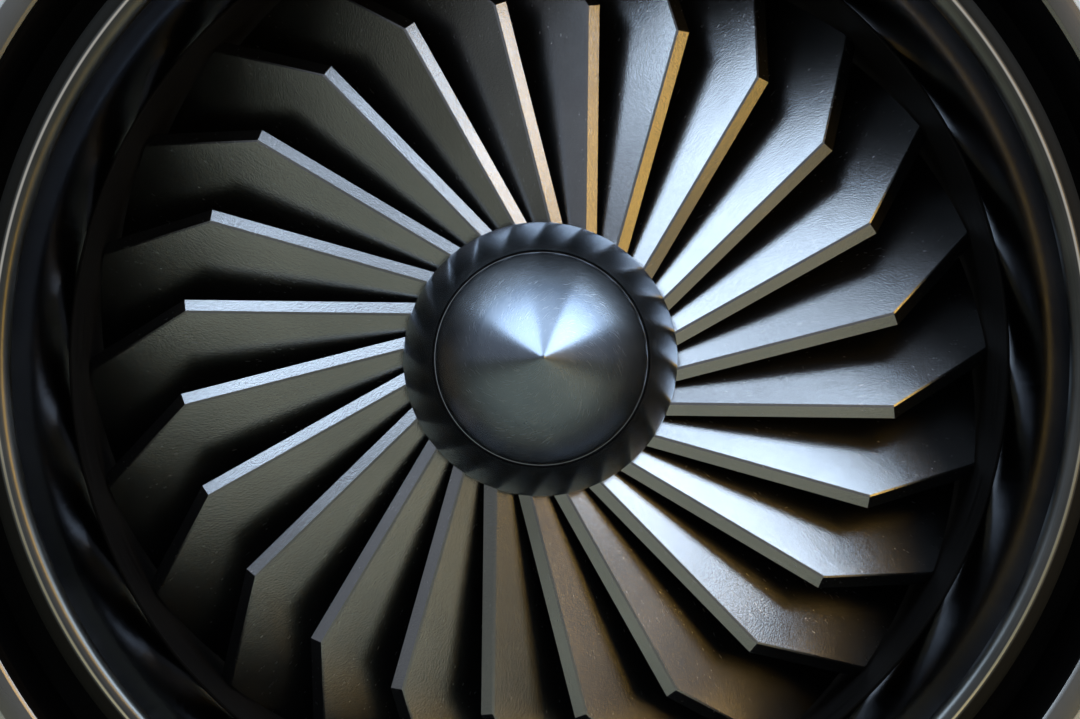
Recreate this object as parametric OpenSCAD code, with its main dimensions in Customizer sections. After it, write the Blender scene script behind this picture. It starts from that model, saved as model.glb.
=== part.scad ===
// A twin-spool turbofan engine in its nacelle, with a kinked slab-bladed fan.
// Stations count aft from the leading edge of the fan; the engine's axis is
// level, the intake faces -Y, and the origin is the top of the front mount.

/* [Fan] */
// Radius over the fan's blade tips
fan_tip_r = 775; // [765:1:785]
// Number of fan blades
blade_count = 24; // [20:1:25]
// Thickness of a blade
blade_t = 22; // [18:1:23]
// Angle of a blade's chord from the engine's axis
blade_stagger = 57; // [55:1:59]
// How far the leading edge passes beside the engine's axis
edge_offset = 72.8; // [68:0.1:76]
// Distance along the blade from the axis to the kink of its leading edge
kink_span = 602; // [580:1:620]
// How far back along the chord the tip of the leading edge is swept
tip_sweep = 122; // [105:1:130]
// How far the back corner of the blunt leading edge runs ahead of its face corner
edge_lead = 13; // [8:0.5:16]
// Chamfer on the corners of the leading edge
edge_chamfer = 2.6; // [1:0.1:4]
// Chord of a blade at its root
root_chord = 205; // [195:1:212]
// Distance along the chord from the leading edge's line to the tip of the trailing edge
tip_chord = 375; // [360:1:382]
// Radius at which the round roots of the blades sit in the hub
root_r = 190; // [188:1:192]
// Running gap between the blade tips and the liner
tip_gap = 4; // [3:0.5:6]

/* [Spinner and hub] */
// Radius of the spinner's rear edge
spinner_r = 232; // [230:1:232]
// Radius of the groove between the nose cone and the spinner ring
groove_r = 177; // [170:1:182]
// Width of that groove
groove_w = 3; // [2:0.5:5]
// Share of the spinner's height that is a plain cone
cone_h = 149; // [130:1:165]
// Share of the spinner's height that is an ellipse
dome_h = 111; // [100:1:125]
// Wall of the nose cone
spinner_wall = 6; // [4:1:9]
// Outer radius of the hub at its rear end
hub_rear_r = 246; // [242:1:250]
// Length of the hub
hub_len = 230; // [226:1:240]
// Inner radius of the hub's rim
hub_rim_r = 150; // [140:1:158]

/* [Intake] */
// Length of the intake ahead of the fan, up to the crest of its lip
intake_len = 230; // [222:1:240]
// How much the intake widens from the blade tips to the crest of its lip
duct_flare = 90; // [84:1:96]
// Width of the lip ring outside its crest
lip_w = 30; // [26:1:34]
// Wall of the intake duct
duct_wall = 12; // [8:1:16]
// Width of the slot between the lip ring and the cowl's front ring
slot_w = 89; // [84:1:95]
// Width of the flat front face of the cowl's front ring
cowl_face_w = 40; // [32:1:46]
// How far the cowl's front ring is set back from the crest of the lip
cowl_setback = 20; // [14:1:30]

/* [Cowl] */
// How far the cowl stands out beyond the flat front face
cowl_rise = 76; // [70:1:90]
// Thickness of the cowl skins
skin_t = 10; // [8:1:12]
// Height of the frames inside the cowl skins
frame_h = 28; // [20:1:32]
// Station of the front edge of the cowl doors
door_front = 44; // [40:1:50]
// Station of the rear edge of the cowl doors
door_rear = 724; // [716:1:730]
// Gap round the cowl doors
door_gap = 4; // [3:0.5:6]
// Half width of the fixed beam between the cowl doors, to the hinge line
hinge_x = 150; // [145:1:165]
// Radius of the door hinges' knuckles
knuckle_r = 14; // [12:0.5:16]
// Radius of the hinge pins
hinge_pin_r = 6; // [5:0.5:7]
// Number of hinges on a cowl door
hinge_count = 4; // [3:1:5]
// Station of the end of the bypass nozzle
bypass_end = 1500; // [1460:5:1540]
// Inner radius of the bypass nozzle at its end
bypass_end_r = 755; // [745:1:765]

/* [Fan case] */
// Thickness of the dark liner round the fan
liner_t = 21; // [16:1:24]
// Wall of the fan case
case_t = 14; // [10:1:18]
// Height of the case flanges above the case
flange_h = 36; // [30:1:38]
// Thickness of a flange
flange_t = 12; // [10:1:14]
// Height of the ribs on the fan case
rib_h = 22; // [14:1:26]
// Station of the joint between the fan case and the fan frame
case_rear = 430; // [425:1:440]
// Number of bolts in a case flange
flange_bolts = 36; // [24, 36, 40]
// Radius of a flange bolt's shank
bolt_r = 6; // [4:0.5:7]

/* [Bypass] */
// Number of exit guide vanes
guide_vanes = 44; // [36:1:48]
// Chord of an exit guide vane
guide_chord = 92; // [80:1:100]
// Inner radius of the bypass stream at the exit guide vanes
splitter_r = 430; // [424:1:436]
// Station of the splitter's nose
splitter_front = 330; // [325:1:340]
// Number of struts in the fan frame
strut_count = 12; // [8:1:14]
// Station of the rear face of the fan frame
frame_rear = 640; // [630:1:650]
// Largest radius of the core cowl
core_cowl_r = 560; // [550:1:570]

/* [Core] */
// Outer radius of the booster's flow path
booster_tip_r = 396; // [392:1:398]
// Inner radius of the booster's flow path
booster_hub_r = 285; // [280:1:290]
// Number of booster stages
booster_stages = 3; // [2:1:3]
// Radius of the compressor's flow path at its front
comp_front_r = 300; // [290:1:304]
// Radius of the compressor's flow path at its rear
comp_rear_r = 258; // [254:1:264]
// Number of compressor stages
comp_stages = 6; // [4:1:6]
// Station of the compressor's first stage
comp_front = 760; // [756:1:766]
// Distance between compressor stages
comp_pitch = 68; // [64:1:69]
// Outer radius of the combustor's case
burner_r = 345; // [335:1:360]
// Number of fuel nozzles
nozzle_count = 18; // [12:1:20]
// Radius of the high pressure turbine's blade tips
core_turbine_r = 288; // [280:1:294]
// Radius of the last low pressure turbine stage's blade tips
fan_turbine_r = 420; // [412:1:424]
// Number of low pressure turbine stages
fan_turbine_stages = 4; // [3:1:4]
// Number of blades in each small rotor stage
stage_blades = 32; // [24:1:36]
// Radius of the low pressure shaft
fan_shaft_r = 48; // [44:1:52]
// Inner radius of the high pressure shaft
core_bore_r = 62; // [58:1:66]
// Wall of the high pressure shaft
core_shaft_t = 14; // [10:1:16]

/* [Exhaust] */
// Station of the front face of the turbine rear frame
rear_frame = 1840; // [1836:1:1850]
// Length of the turbine rear frame
rear_frame_len = 100; // [90:1:110]
// Outer radius of the exhaust plug at its front
plug_r = 240; // [230:1:246]
// Length of the exhaust plug
plug_len = 520; // [460:5:560]
// Length of the core nozzle
nozzle_len = 220; // [200:5:240]
// Inner radius of the core nozzle at its end
nozzle_end_r = 360; // [350:1:370]

/* [Mounts] */
// Height of the front mount's top face above the cowl
mount_stand = 90; // [85:1:100]
// Width of the front mount's pad
pad_w = 220; // [210:1:230]
// Length of the front mount's pad
pad_l = 160; // [150:1:170]
// Thickness of that pad
pad_t = 30; // [26:1:34]
// Spacing of its bolts across the engine
pad_bolt_x = 160; // [150:1:165]
// Spacing of its bolts along the engine
pad_bolt_y = 100; // [90:1:105]
// Radius of its bolt holes
pad_hole_r = 13; // [10:0.5:14]
// Radius of the rear mount's bore
link_bore_r = 25; // [20:0.5:28]
// Gap between the rear mount's ears
link_gap = 60; // [50:1:70]
// Thickness of one ear
link_ear_t = 25; // [20:1:30]

/* [Accessories] */
// Height of the gearbox housing
gearbox_h = 150; // [130:1:155]
// Length of the gearbox housing along the engine
gearbox_l = 130; // [110:1:140]
// Half angle that the gearbox spans under the fan case
gearbox_half = 34; // [28:1:38]
// Radius of the generator
generator_r = 72; // [60:1:76]
// Length of the generator
generator_l = 200; // [160:5:210]

/* [Hidden] */
$fn = 96;

titanium = "#8d95a0";
dark_metal = "#3c4047";
steel = "#9a9ea3";
hot_metal = "#8a7a6a";
liner_black = "#17181a";
cowl_grey = "#5a5f66";

// Clearance of a close fit between two pieces of one body
fit_gap = 0.1;
// Clearance of a running pair
run_gap = 0.3;
// Station of the front mount's centre, over the fan frame's struts
mount_station = (case_rear + frame_rear) / 2 + 20;

// Radii of the fan case, from the blades outwards
liner_bore = fan_tip_r + tip_gap;
case_bore = liner_bore + liner_t;
case_outer = case_bore + case_t;
flange_r = case_outer + flange_h;
// Radii of the intake and the nacelle, from the blade tips outwards
crest_r = fan_tip_r + duct_flare;
lip_outer_r = crest_r + lip_w;
cowl_mouth_r = lip_outer_r + slot_w;
cowl_face_r = cowl_mouth_r + cowl_face_w;
cowl_r = cowl_face_r + cowl_rise;
mount_height = cowl_r + mount_stand;
// Outer radius of the turbine rear frame
rear_out_r = fan_turbine_r + 25;
// Stations of the intake's parts
liner_front = -60;
skin_in = cowl_r - skin_t;
frame_in = skin_in - frame_h;
bulkhead_t = 8;
// Panels that make up a large ring, and the angle of the seam between them
panel_count = 24;
panel_seam = 0.02;

// Places a piece that is drawn round a +Z axis pointing forward, in the engine's own frame
module engine() {
    translate([0, -mount_station, -mount_height]) rotate([90, 0, 0]) children();
}

// Turns a list of [station, radius] points round the axis
module lathe(points) {
    rotate_extrude($fn = 180) polygon([for (p = points) [p[1], -p[0]]]);
}

// The part of a lathe between two angles, measured anticlockwise seen from the front
module lathe_arc(points, from, to) {
    rotate([0, 0, from]) rotate_extrude(angle = to - from, $fn = 180)
        polygon([for (p = points) [p[1], -p[0]]]);
}

// A plain ring between two radii and two stations
module ring(r_in, r_out, s0, s1) {
    lathe([[s0, r_in], [s1, r_in], [s1, r_out], [s0, r_out]]);
}

// A large ring of [station, radius] points, made up of panels with thin seams between them
module panels(points) {
    step = 360 / panel_count;
    for (i = [0:panel_count - 1])
        lathe_arc(points, (i - 0.5) * step + panel_seam / 2, (i + 0.5) * step - panel_seam / 2);
}

// A plain ring made up of panels
module panel_ring(r_in, r_out, s0, s1) {
    panels([[s0, r_in], [s1, r_in], [s1, r_out], [s0, r_out]]);
}

// Copies what follows evenly round the axis
module around(count, first = 0) {
    for (i = [0:count - 1]) rotate([0, 0, first + i * 360 / count]) children();
}

// A cylinder along the axis, at a radius and between two stations
module axial_rod(r, s0, s1, at_r = 0) {
    translate([at_r, 0, -s1]) cylinder(r = r, h = s1 - s0, $fn = 32);
}

// A cylinder that points outwards from the axis, between two radii
module radial_rod(r, r0, r1, station) {
    translate([r0, 0, -station]) rotate([0, 90, 0]) cylinder(r = r, h = r1 - r0, $fn = 32);
}

// The outline of a vane: a rounded nose, a bowed back and a thin tail
function vane_outline(chord, thick, bow, steps) = concat(
    [for (i = [0:steps]) let (x = i / steps)
        [chord * (x - 0.5), bow * 4 * x * (1 - x) + thick * 1.3 * sqrt(x) * (1 - x) + thick * 0.12]],
    [for (i = [steps:-1:0]) let (x = i / steps)
        [chord * (x - 0.5), bow * 4 * x * (1 - x) - thick * 1.3 * sqrt(x) * (1 - x) - thick * 0.12]]);

// One vane that stands on the axis at a station and turns about its own length
module vane(r_in, r_out, station, chord, thick, bow, stagger, steps = 4) {
    translate([r_in, 0, -station]) rotate([0, 90, 0]) rotate([0, 0, stagger])
        linear_extrude(height = r_out - r_in) polygon(vane_outline(chord, thick, bow, steps));
}

// A ring of vanes
module vanes(count, r_in, r_out, station, chord, thick, bow, stagger, steps = 3) {
    around(count) vane(r_in, r_out, station, chord, thick, bow, stagger, steps);
}

// Points along a smooth bell between two [station, radius] ends
function bell(s0, r0, s1, r1, power, steps) =
    [for (i = [0:steps]) let (x = i / steps) [s0 + (s1 - s0) * x, r0 + (r1 - r0) * pow(x, power)]];

// The spinner's height above its rear edge, at a radius
spinner_full_r = spinner_r + 8;
function spinner_curve(r) = cone_h * (1 - r / spinner_full_r) + dome_h * sqrt(1 - pow(r / spinner_full_r, 2));
spinner_rear = -12;
hub_front = -5;
function spinner_station(r) = spinner_rear - spinner_curve(r) + spinner_curve(spinner_r);

// Moves a plate into its place beside the axis: x along the blade, y along the chord, z out of its face
module blade_place() {
    translate([0, -edge_offset, 0]) rotate([blade_stagger - 90, 0, 0]) children();
}

// Draws a profile given as [chord, height] points along the length of a blade
module along_blade(from, to) {
    translate([from, 0, 0]) rotate([90, 0, 90]) linear_extrude(height = to - from) children();
}

tip_span = sqrt(pow(fan_tip_r, 2) - pow(tip_sweep * sin(blade_stagger) - edge_offset, 2));
tail_span = sqrt(pow(fan_tip_r, 2) - pow(tip_chord * sin(blade_stagger) - edge_offset, 2));
tail_t = 8;
kink_angle = atan2(tip_sweep, tip_span - kink_span);
hub_rear = hub_front + hub_len;
blade_gap = 0.4;
root_bulb_r = 9;
root_neck_t = 10;
root_depth = -blade_t / 2;
// Angle of the first blade from the level, as it stands in the rest position
first_blade = 14.3;
function hub_surface(s) = spinner_r + (hub_rear_r - spinner_r) * (s - hub_front) / hub_len;

// The blade's section from a leading edge at zero chord, given where its thinning starts and ends
edge_len = sqrt(pow(edge_lead, 2) + pow(blade_t, 2));
function edge_section(thin_from, thin_to, thin_t, reach, chamfer) = let (c = chamfer / edge_len) [
    [chamfer, 0], [reach, 0], [reach, -thin_t], [thin_to, -thin_t], [thin_from, -blade_t],
    [chamfer - edge_lead, -blade_t], [edge_lead * (c - 1), blade_t * (c - 1)],
    [-edge_lead * c, -blade_t * c]];
tail_slope = (tip_chord - root_chord - 35) / (tail_span - kink_span - 20);

// The flat slab of a blade with its kinked, blunt leading edge and thinned tail
module blade_plate() {
    intersection() {
        translate([0, 0, -blade_t]) linear_extrude(height = blade_t) polygon([
            [root_r + 20, -60], [tip_span + 90, -60], [tip_span + 90, tip_chord + 60],
            [tail_span + 60, tip_chord + 60 * tail_slope], [kink_span + 20, root_chord + 35],
            [root_r + 20, root_chord]]);
        along_blade(0, fan_tip_r + 120)
            polygon(edge_section(tip_sweep, tip_chord + 40, tail_t, tip_chord + 90, edge_chamfer));
        translate([kink_span, 0, 0]) rotate([0, 0, kink_angle]) along_blade(-900, 400)
            polygon(edge_section(850, 900, blade_t - 0.5, 950, edge_chamfer * 0.75));
    }
}

// The neck and the round bulb that key a blade into the hub
module blade_root(from, to, spare) {
    translate([root_r, from, root_depth]) rotate([-90, 0, 0]) cylinder(r = root_bulb_r + spare, h = to - from, $fn = 48);
    translate([root_r, from, root_depth - root_neck_t / 2 - spare])
        cube([70, to - from, root_neck_t + 2 * spare]);
}

// One fan blade with its root
module fan_blade() {
    intersection() {
        blade_place() blade_plate();
        lathe([[-40, hub_surface(-40) + blade_gap], [hub_rear + 200, hub_surface(hub_rear + 200) + blade_gap],
            [hub_rear + 200, fan_tip_r], [-40, fan_tip_r]]);
    }
    blade_place() blade_root(2, root_chord - 4, 0);
}

module fan_blades() {
    color(titanium) engine() around(blade_count, first_blade) fan_blade();
}

module fan_hub() {
    color(dark_metal) engine() difference() {
        lathe([[hub_front, hub_rim_r], [hub_front, spinner_r], [hub_rear, hub_rear_r], [hub_rear, hub_rim_r],
            [140, hub_rim_r], [124, 120], [124, fan_shaft_r + fit_gap], [96, fan_shaft_r + fit_gap],
            [96, 120], [80, hub_rim_r]]);
        around(blade_count, first_blade) blade_place() blade_root(-60, root_chord - 3.8, fit_gap);
    }
}

spinner_seat = spinner_station(groove_r) + 14;

module spinner_cone() {
    color(dark_metal) engine() lathe(concat(
        [for (i = [0:16]) let (r = (groove_r - groove_w / 2) * i / 16) [spinner_station(r), r]],
        [[spinner_seat, groove_r - groove_w / 2], [spinner_seat, groove_r - 24]],
        [for (i = [12:-1:0]) let (r = (groove_r - 24) * i / 12)
            [spinner_station(r) + spinner_wall * (1.6 + 1.2 * i / 12), r]]));
}

module spinner_ring() {
    color(dark_metal) engine() lathe(concat(
        [[spinner_seat, groove_r - 24], [spinner_seat, groove_r + groove_w / 2]],
        [for (i = [0:8]) let (r = groove_r + groove_w / 2 + (spinner_r - groove_r - groove_w / 2) * i / 8)
            [spinner_station(r), r]],
        [[hub_front, spinner_r], [hub_front, hub_rim_r], [hub_front - 12, hub_rim_r],
            [hub_front - 12, spinner_r - 22], [spinner_seat + 12, groove_r - 8],
            [spinner_seat + 12, groove_r - 24]]));
}

// Intake

lip_nose = -intake_len;
lip_back = -intake_len + 24;
slot_floor = -20;
cowl_front = -intake_len + cowl_setback;
skin_front = cowl_front + 2;
skin_rear = door_front - door_gap;
function skin_r(s) = s >= skin_rear ? cowl_r
    : cowl_face_r + 2 + (cowl_r - cowl_face_r - 2) * pow(sin(90 * (s - skin_front) / (skin_rear - skin_front)), 0.8);
duct_throat = liner_bore + 3;
duct_mouth = crest_r - 22;
function duct_r(s) = duct_throat + (duct_mouth - duct_throat)
    * pow(max(0, (liner_front - s) / (liner_front - lip_back)), 1.7);

module inlet_lip_ring() {
    color(steel) engine() panels(concat(
        [for (a = [0:9:81]) [lip_back - 24 * sin(a), crest_r - 22 * cos(a)]],
        [[lip_nose, crest_r - 2], [lip_nose, crest_r]],
        [for (a = [75:-15:0]) [lip_back - 24 * sin(a), crest_r + (lip_outer_r - crest_r) * cos(a)]],
        [[slot_floor - 0.4, lip_outer_r], [slot_floor - 0.4, lip_outer_r - 7]],
        [for (a = [0:18:90]) [lip_back - 17 * sin(a), crest_r + (lip_outer_r - crest_r - 7) * cos(a)]],
        [for (a = [72:-18:0]) [lip_back - 17 * sin(a), crest_r - 14 * cos(a)]]));
}

module intake_duct() {
    color(dark_metal) engine() difference() {
        panels(concat(
            [for (i = [0:12]) let (s = lip_back + (liner_front - lip_back) * i / 12) [s, duct_r(s)]],
            [[liner_front, flange_r], [liner_front - flange_t, flange_r],
                [liner_front - flange_t, duct_r(liner_front - flange_t) + duct_wall]],
            [for (i = [11:-1:1]) let (s = lip_back + (liner_front - lip_back) * i / 12) if (s < liner_front - flange_t)
                [s, duct_r(s) + duct_wall]],
            [[lip_back, duct_r(lip_back) + 7.9]]));
        around(flange_bolts) axial_rod(bolt_r + fit_gap, liner_front - 20, liner_front + 5, flange_r - 16);
    }
}

module outer_lip_ring() {
    color(cowl_grey) engine() panels([[cowl_front + 5, cowl_mouth_r], [cowl_front, cowl_mouth_r + 5],
        [cowl_front, cowl_face_r], [cowl_front + 12, cowl_face_r], [cowl_front + 12, cowl_mouth_r + 14],
        [cowl_front + 40, cowl_mouth_r + 9], [slot_floor - 0.4, cowl_mouth_r + 9], [slot_floor - 0.4, cowl_mouth_r]]);
}

module intake_outer_skin() {
    color(cowl_grey) engine() panels(concat(
        [for (i = [0:12]) let (s = skin_front + (skin_rear - skin_front) * i / 12) [s, skin_r(s)]],
        [for (i = [12:-1:1]) let (s = skin_front + (skin_rear - skin_front) * i / 12) [s, skin_r(s) - skin_t]],
        [[skin_front + 10, cowl_face_r - 4], [skin_front + 10.1, cowl_face_r + 0.1], [skin_front, cowl_face_r + 0.1]]));
}

module forward_bulkhead() {
    color(liner_black) engine() panels([[slot_floor, case_outer + fit_gap], [slot_floor + bulkhead_t, case_outer + fit_gap],
        [slot_floor + bulkhead_t, skin_r(slot_floor + bulkhead_t) - skin_t - 1.2],
        [slot_floor, skin_r(slot_floor) - skin_t - 1.2]]);
}

module aft_bulkhead() {
    color(cowl_grey) engine() panel_ring(case_outer + fit_gap, skin_in - 0.8, 24, 32);
}

// Fan case and the bypass stream

module fan_case() {
    color(dark_metal) engine() difference() {
        lathe([[liner_front, case_bore], [case_rear, case_bore], [case_rear, flange_r],
            [case_rear - flange_t, flange_r], [case_rear - flange_t, case_outer],
            [340, case_outer], [340, case_outer + rib_h], [332, case_outer + rib_h], [332, case_outer],
            [108, case_outer], [108, case_outer + rib_h], [100, case_outer + rib_h], [100, case_outer],
            [liner_front + flange_t, case_outer], [liner_front + flange_t, flange_r], [liner_front, flange_r]]);
        around(flange_bolts) axial_rod(bolt_r + fit_gap, liner_front - 5, liner_front + 20, flange_r - 16);
        around(flange_bolts) axial_rod(bolt_r + fit_gap, case_rear - 20, case_rear + 5, flange_r - 16);
    }
}

module fan_case_liner() {
    color(liner_black) engine() panel_ring(liner_bore, case_bore - fit_gap, liner_front, 400);
}

module flange_bolts() {
    color(steel) engine() around(flange_bolts) for (s = [liner_front, case_rear]) {
        axial_rod(bolt_r, s - flange_t - 6, s + flange_t + 6, flange_r - 16);
        axial_rod(bolt_r * 1.8, s - flange_t - 10, s - flange_t, flange_r - 16);
        axial_rod(bolt_r * 1.8, s + flange_t, s + flange_t + 10, flange_r - 16);
    }
}

guide_station = 460;
guide_front = 402;
guide_rear = 520;
module exit_guide_vanes() {
    color(titanium) engine() {
        panel_ring(liner_bore, case_bore - fit_gap, guide_front, frame_rear - 0.2);
        panel_ring(splitter_r - 10, splitter_r, guide_front, guide_rear);
        vanes(guide_vanes, splitter_r + fit_gap, liner_bore - 0.6, guide_station, guide_chord, 12, 8, 14);
    }
}

module core_splitter() {
    color(dark_metal) engine() panels([[splitter_front, 408], [splitter_front + 12, 414], [guide_front, splitter_r],
        [guide_front, splitter_r - 10.1], [guide_rear, splitter_r - 10.1], [guide_rear, booster_tip_r + 14],
        [guide_front, booster_tip_r + 14], [guide_front, booster_tip_r], [splitter_front + 12, 400]]);
}

module fan_frame() {
    color(dark_metal) engine() difference() {
        lathe([[case_rear, case_bore], [frame_rear, case_bore], [frame_rear, flange_r],
            [frame_rear - flange_t, flange_r], [frame_rear - flange_t, case_outer], [case_rear + flange_t, case_outer],
            [case_rear + flange_t, flange_r], [case_rear, flange_r]]);
        around(flange_bolts) axial_rod(bolt_r + fit_gap, case_rear - 5, case_rear + 20, flange_r - 16);
    }
}

// The swan neck that leads the core's air from the booster to the compressor, between two walls
neck_front = 604;
neck_rear = 748;
function neck_share(s) = (s - neck_front) / (neck_rear - neck_front);
function neck_out(s) = booster_tip_r + (comp_front_r - booster_tip_r) * neck_share(s);
function neck_in(s) = booster_hub_r - 2 + (214 - booster_hub_r + 2) * neck_share(s);

module core_frame() {
    color(dark_metal) engine() {
        panels([[guide_rear + 2, 411], [guide_rear + 2, splitter_r], [frame_rear + 20, splitter_r], [neck_rear, 340],
            [neck_rear, comp_front_r], [neck_front, booster_tip_r], [neck_front, 411]]);
        panels([[neck_front, 262], [neck_front, neck_in(neck_front)], [neck_rear, neck_in(neck_rear)],
            [neck_rear, 118.4], [neck_rear - 18, 118.4], [neck_rear - 18, 200], [neck_front + 12, 262]]);
        vanes(strut_count, splitter_r + fit_gap, liner_bore - 0.6, 580, 90, 26, 0, 0, 4);
        intersection() {
            vanes(strut_count, 200, 420, 670, 70, 16, 0, 0, 4);
            lathe([for (e = [[625, 0.3, 0], [715, 0.3, 0], [715, -0.3, 1], [625, -0.3, 1]])
                [e[0], (e[2] == 0 ? neck_in(e[0]) : neck_out(e[0])) + e[1]]]);
        }
    }
}

module bypass_duct_wall() {
    color(cowl_grey) engine() panels(concat(
        [[frame_rear, liner_bore], [900, liner_bore + 13], [1150, liner_bore + 19], [1350, liner_bore + 6],
            [bypass_end, bypass_end_r],
            [bypass_end, bypass_end_r + 8]],
        [[1350, liner_bore + 15], [1150, liner_bore + 28], [900, liner_bore + 22],
            [frame_rear + 12, liner_bore + 11], [frame_rear + 12, flange_r], [frame_rear, flange_r]]));
}

rear_front = door_rear + door_gap;
module rear_cowl() {
    color(cowl_grey) engine() panels(concat(
        [for (i = [0:10]) let (s = rear_front + (bypass_end - rear_front) * i / 10)
            [s, cowl_r - (cowl_r - bypass_end_r - 18) * pow(i / 10, 1.7)]],
        [[bypass_end, bypass_end_r + 8.1], [bypass_end - 30, bypass_end_r + 15]],
        [for (i = [9:-1:1]) let (s = rear_front + (bypass_end - rear_front) * i / 10)
            [s, cowl_r - skin_t - (cowl_r - bypass_end_r - 18) * pow(i / 10, 1.7)]],
        [[rear_front + 10, cowl_r - skin_t], [rear_front + 10, case_bore], [rear_front, case_bore]]));
}

module core_cowl() {
    color(cowl_grey) engine() panels([[frame_rear + 21, splitter_r], [760, 500], [900, 545], [1060, core_cowl_r],
        [1250, 555], [1500, 522], [rear_frame, 470], [rear_frame, 462], [1500, 514], [1250, 547],
        [1060, core_cowl_r - 8], [900, 537], [760, 491], [frame_rear + 30, splitter_r]]);
}

// The core, front to back

rotor_pitch = 60;
module booster_case() {
    color(steel) engine() {
        ring(booster_tip_r + 1, booster_tip_r + 13.9, guide_front, 604);
        for (i = [0:booster_stages - 1]) vanes(stage_blades, booster_hub_r + 5, booster_tip_r + 4,
            445 + rotor_pitch * i, 30, 5, 3, 30, 2);
    }
}

module booster_rotor() {
    color(titanium) engine() {
        lathe([[hub_rear, 236], [hub_rear, hub_rear_r], [345, booster_hub_r], [585, booster_hub_r],
            [585, booster_hub_r - 10], [350, booster_hub_r - 10]]);
        for (i = [0:booster_stages - 1]) vanes(stage_blades, booster_hub_r - 4, booster_tip_r - 3,
            415 + rotor_pitch * i, 30, 5, 3, -35, 2);
    }
}

comp_end = 1165;
function comp_r(s) = comp_front_r - (comp_front_r - comp_rear_r) * (s - 748) / (comp_end - 748);
function comp_drum(s) = 200 + 32 * (s - 755) / (comp_end - 755);

module compressor_case() {
    color(steel) engine() {
        lathe([[748, comp_front_r], [comp_end, comp_rear_r], [comp_end, comp_rear_r + 32],
            [comp_end - 10, comp_rear_r + 32], [comp_end - 10, comp_rear_r + 10], [758, comp_front_r + 10],
            [758, comp_front_r + 32], [748, comp_front_r + 32]]);
        for (i = [0:comp_stages - 1]) let (s = comp_front + 15 + comp_pitch * i + comp_pitch / 2)
            vanes(stage_blades, comp_drum(s + 14) + 4, comp_r(s) + 4, s, 26, 4, 3, 25, 2);
    }
}

module compressor_rotor() {
    color(titanium) engine() {
        lathe([[756, 190], [756, comp_drum(756)], [comp_end - 5, comp_drum(comp_end - 5)],
            [comp_end - 5, core_bore_r + core_shaft_t + fit_gap], [comp_end - 20, core_bore_r + core_shaft_t + fit_gap],
            [comp_end - 20, 200], [comp_end - 40, 218]]);
        for (i = [0:comp_stages - 1]) let (s = comp_front + 15 + comp_pitch * i)
            vanes(stage_blades, comp_drum(s - 14) - 4, comp_r(s + 14) - 3, s, 26, 4, 3, -40, 2);
    }
}

burner_end = 1420;
module combustor_case() {
    color(hot_metal) engine() difference() {
        lathe([[comp_end, comp_rear_r], [comp_end, comp_rear_r + 32], [comp_end + 12, comp_rear_r + 32],
            [comp_end + 18, burner_r], [burner_end - 12, burner_r], [burner_end - 12, burner_r + 22],
            [burner_end, burner_r + 22], [burner_end, burner_r - 10], [comp_end + 26, burner_r - 10],
            [comp_end + 18, comp_rear_r]]);
        around(nozzle_count) radial_rod(7 + fit_gap, 300, 420, 1205);
        rotate([0, 0, -50]) radial_rod(8 + fit_gap, 300, 420, 1300);
        rotate([0, 0, -130]) radial_rod(8 + fit_gap, 300, 420, 1300);
    }
}

module combustor_liner() {
    color(hot_metal) engine() difference() {
        lathe([[1222, 203], [1222, 298], [1412, 298], [1412, 292], [1230, 292], [1230, 209], [1412, 209], [1412, 203]]);
        around(nozzle_count) axial_rod(12 + fit_gap, 1215, 1240, 251);
        rotate([0, 0, -50]) radial_rod(8 + fit_gap, 280, 310, 1300);
        rotate([0, 0, -130]) radial_rod(8 + fit_gap, 280, 310, 1300);
    }
}

module fuel_nozzles() {
    color(steel) engine() around(nozzle_count) {
        radial_rod(7, 251, 372, 1205);
        axial_rod(12, 1196, 1240, 251);
        radial_rod(14, burner_r + fit_gap, 353, 1205);
    }
}

module fuel_manifold() {
    color(steel) engine() translate([0, 0, -1205]) rotate_extrude() translate([380, 0]) circle(r = 8, $fn = 24);
}

module igniters() {
    color(steel) engine() for (a = [-50, -130]) rotate([0, 0, a]) {
        radial_rod(8, 290, 400, 1300);
        radial_rod(15, burner_r + fit_gap, 355, 1300);
    }
}

module turbine_nozzle_ring() {
    color(hot_metal) engine() {
        ring(core_turbine_r, 299.9, 1412, 1456);
        ring(200, 210, 1412, 1456);
        vanes(stage_blades, 206, core_turbine_r + 4, 1434, 36, 6, 5, 40, 2);
    }
}

function fan_turbine_wall(s) = 310 + (fan_turbine_r - 307) * (s - 1530) / (rear_frame - 1530);
module turbine_case() {
    color(hot_metal) engine() {
        lathe([[burner_end, 300], [1520, 300], [1530, 310], [rear_frame, fan_turbine_wall(rear_frame)],
            [rear_frame, rear_out_r + 2], [rear_frame - 12, rear_out_r + 2], [rear_frame - 12, fan_turbine_wall(rear_frame) + 8],
            [1530, 322], [burner_end + 12, 312], [burner_end + 12, burner_r + 22], [burner_end, burner_r + 22]]);
        for (i = [0:fan_turbine_stages - 1]) vanes(stage_blades, 236, fan_turbine_wall(1555 + 70 * i) + 5, 1555 + 70 * i, 34, 5, 4, 30, 2);
    }
}

module turbine_rear_frame() {
    color(hot_metal) engine() {
        panel_ring(fan_turbine_wall(rear_frame), rear_out_r, rear_frame, rear_frame + rear_frame_len);
        panels([[rear_frame, plug_r - 10], [rear_frame, plug_r], [rear_frame + rear_frame_len, plug_r],
            [rear_frame + rear_frame_len, plug_r - 10], [rear_frame + 56, plug_r - 10], [rear_frame + 56, 112],
            [rear_frame + 70, 108], [rear_frame + 70, 96.4], [rear_frame + 30, 96.4], [rear_frame + 30, 108],
            [rear_frame + 44, 112], [rear_frame + 44, plug_r - 10]]);
        vanes(strut_count, plug_r + fit_gap, fan_turbine_wall(rear_frame) - 0.6, rear_frame + 50, 80, 16, 0, 0, 4);
    }
}

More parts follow.
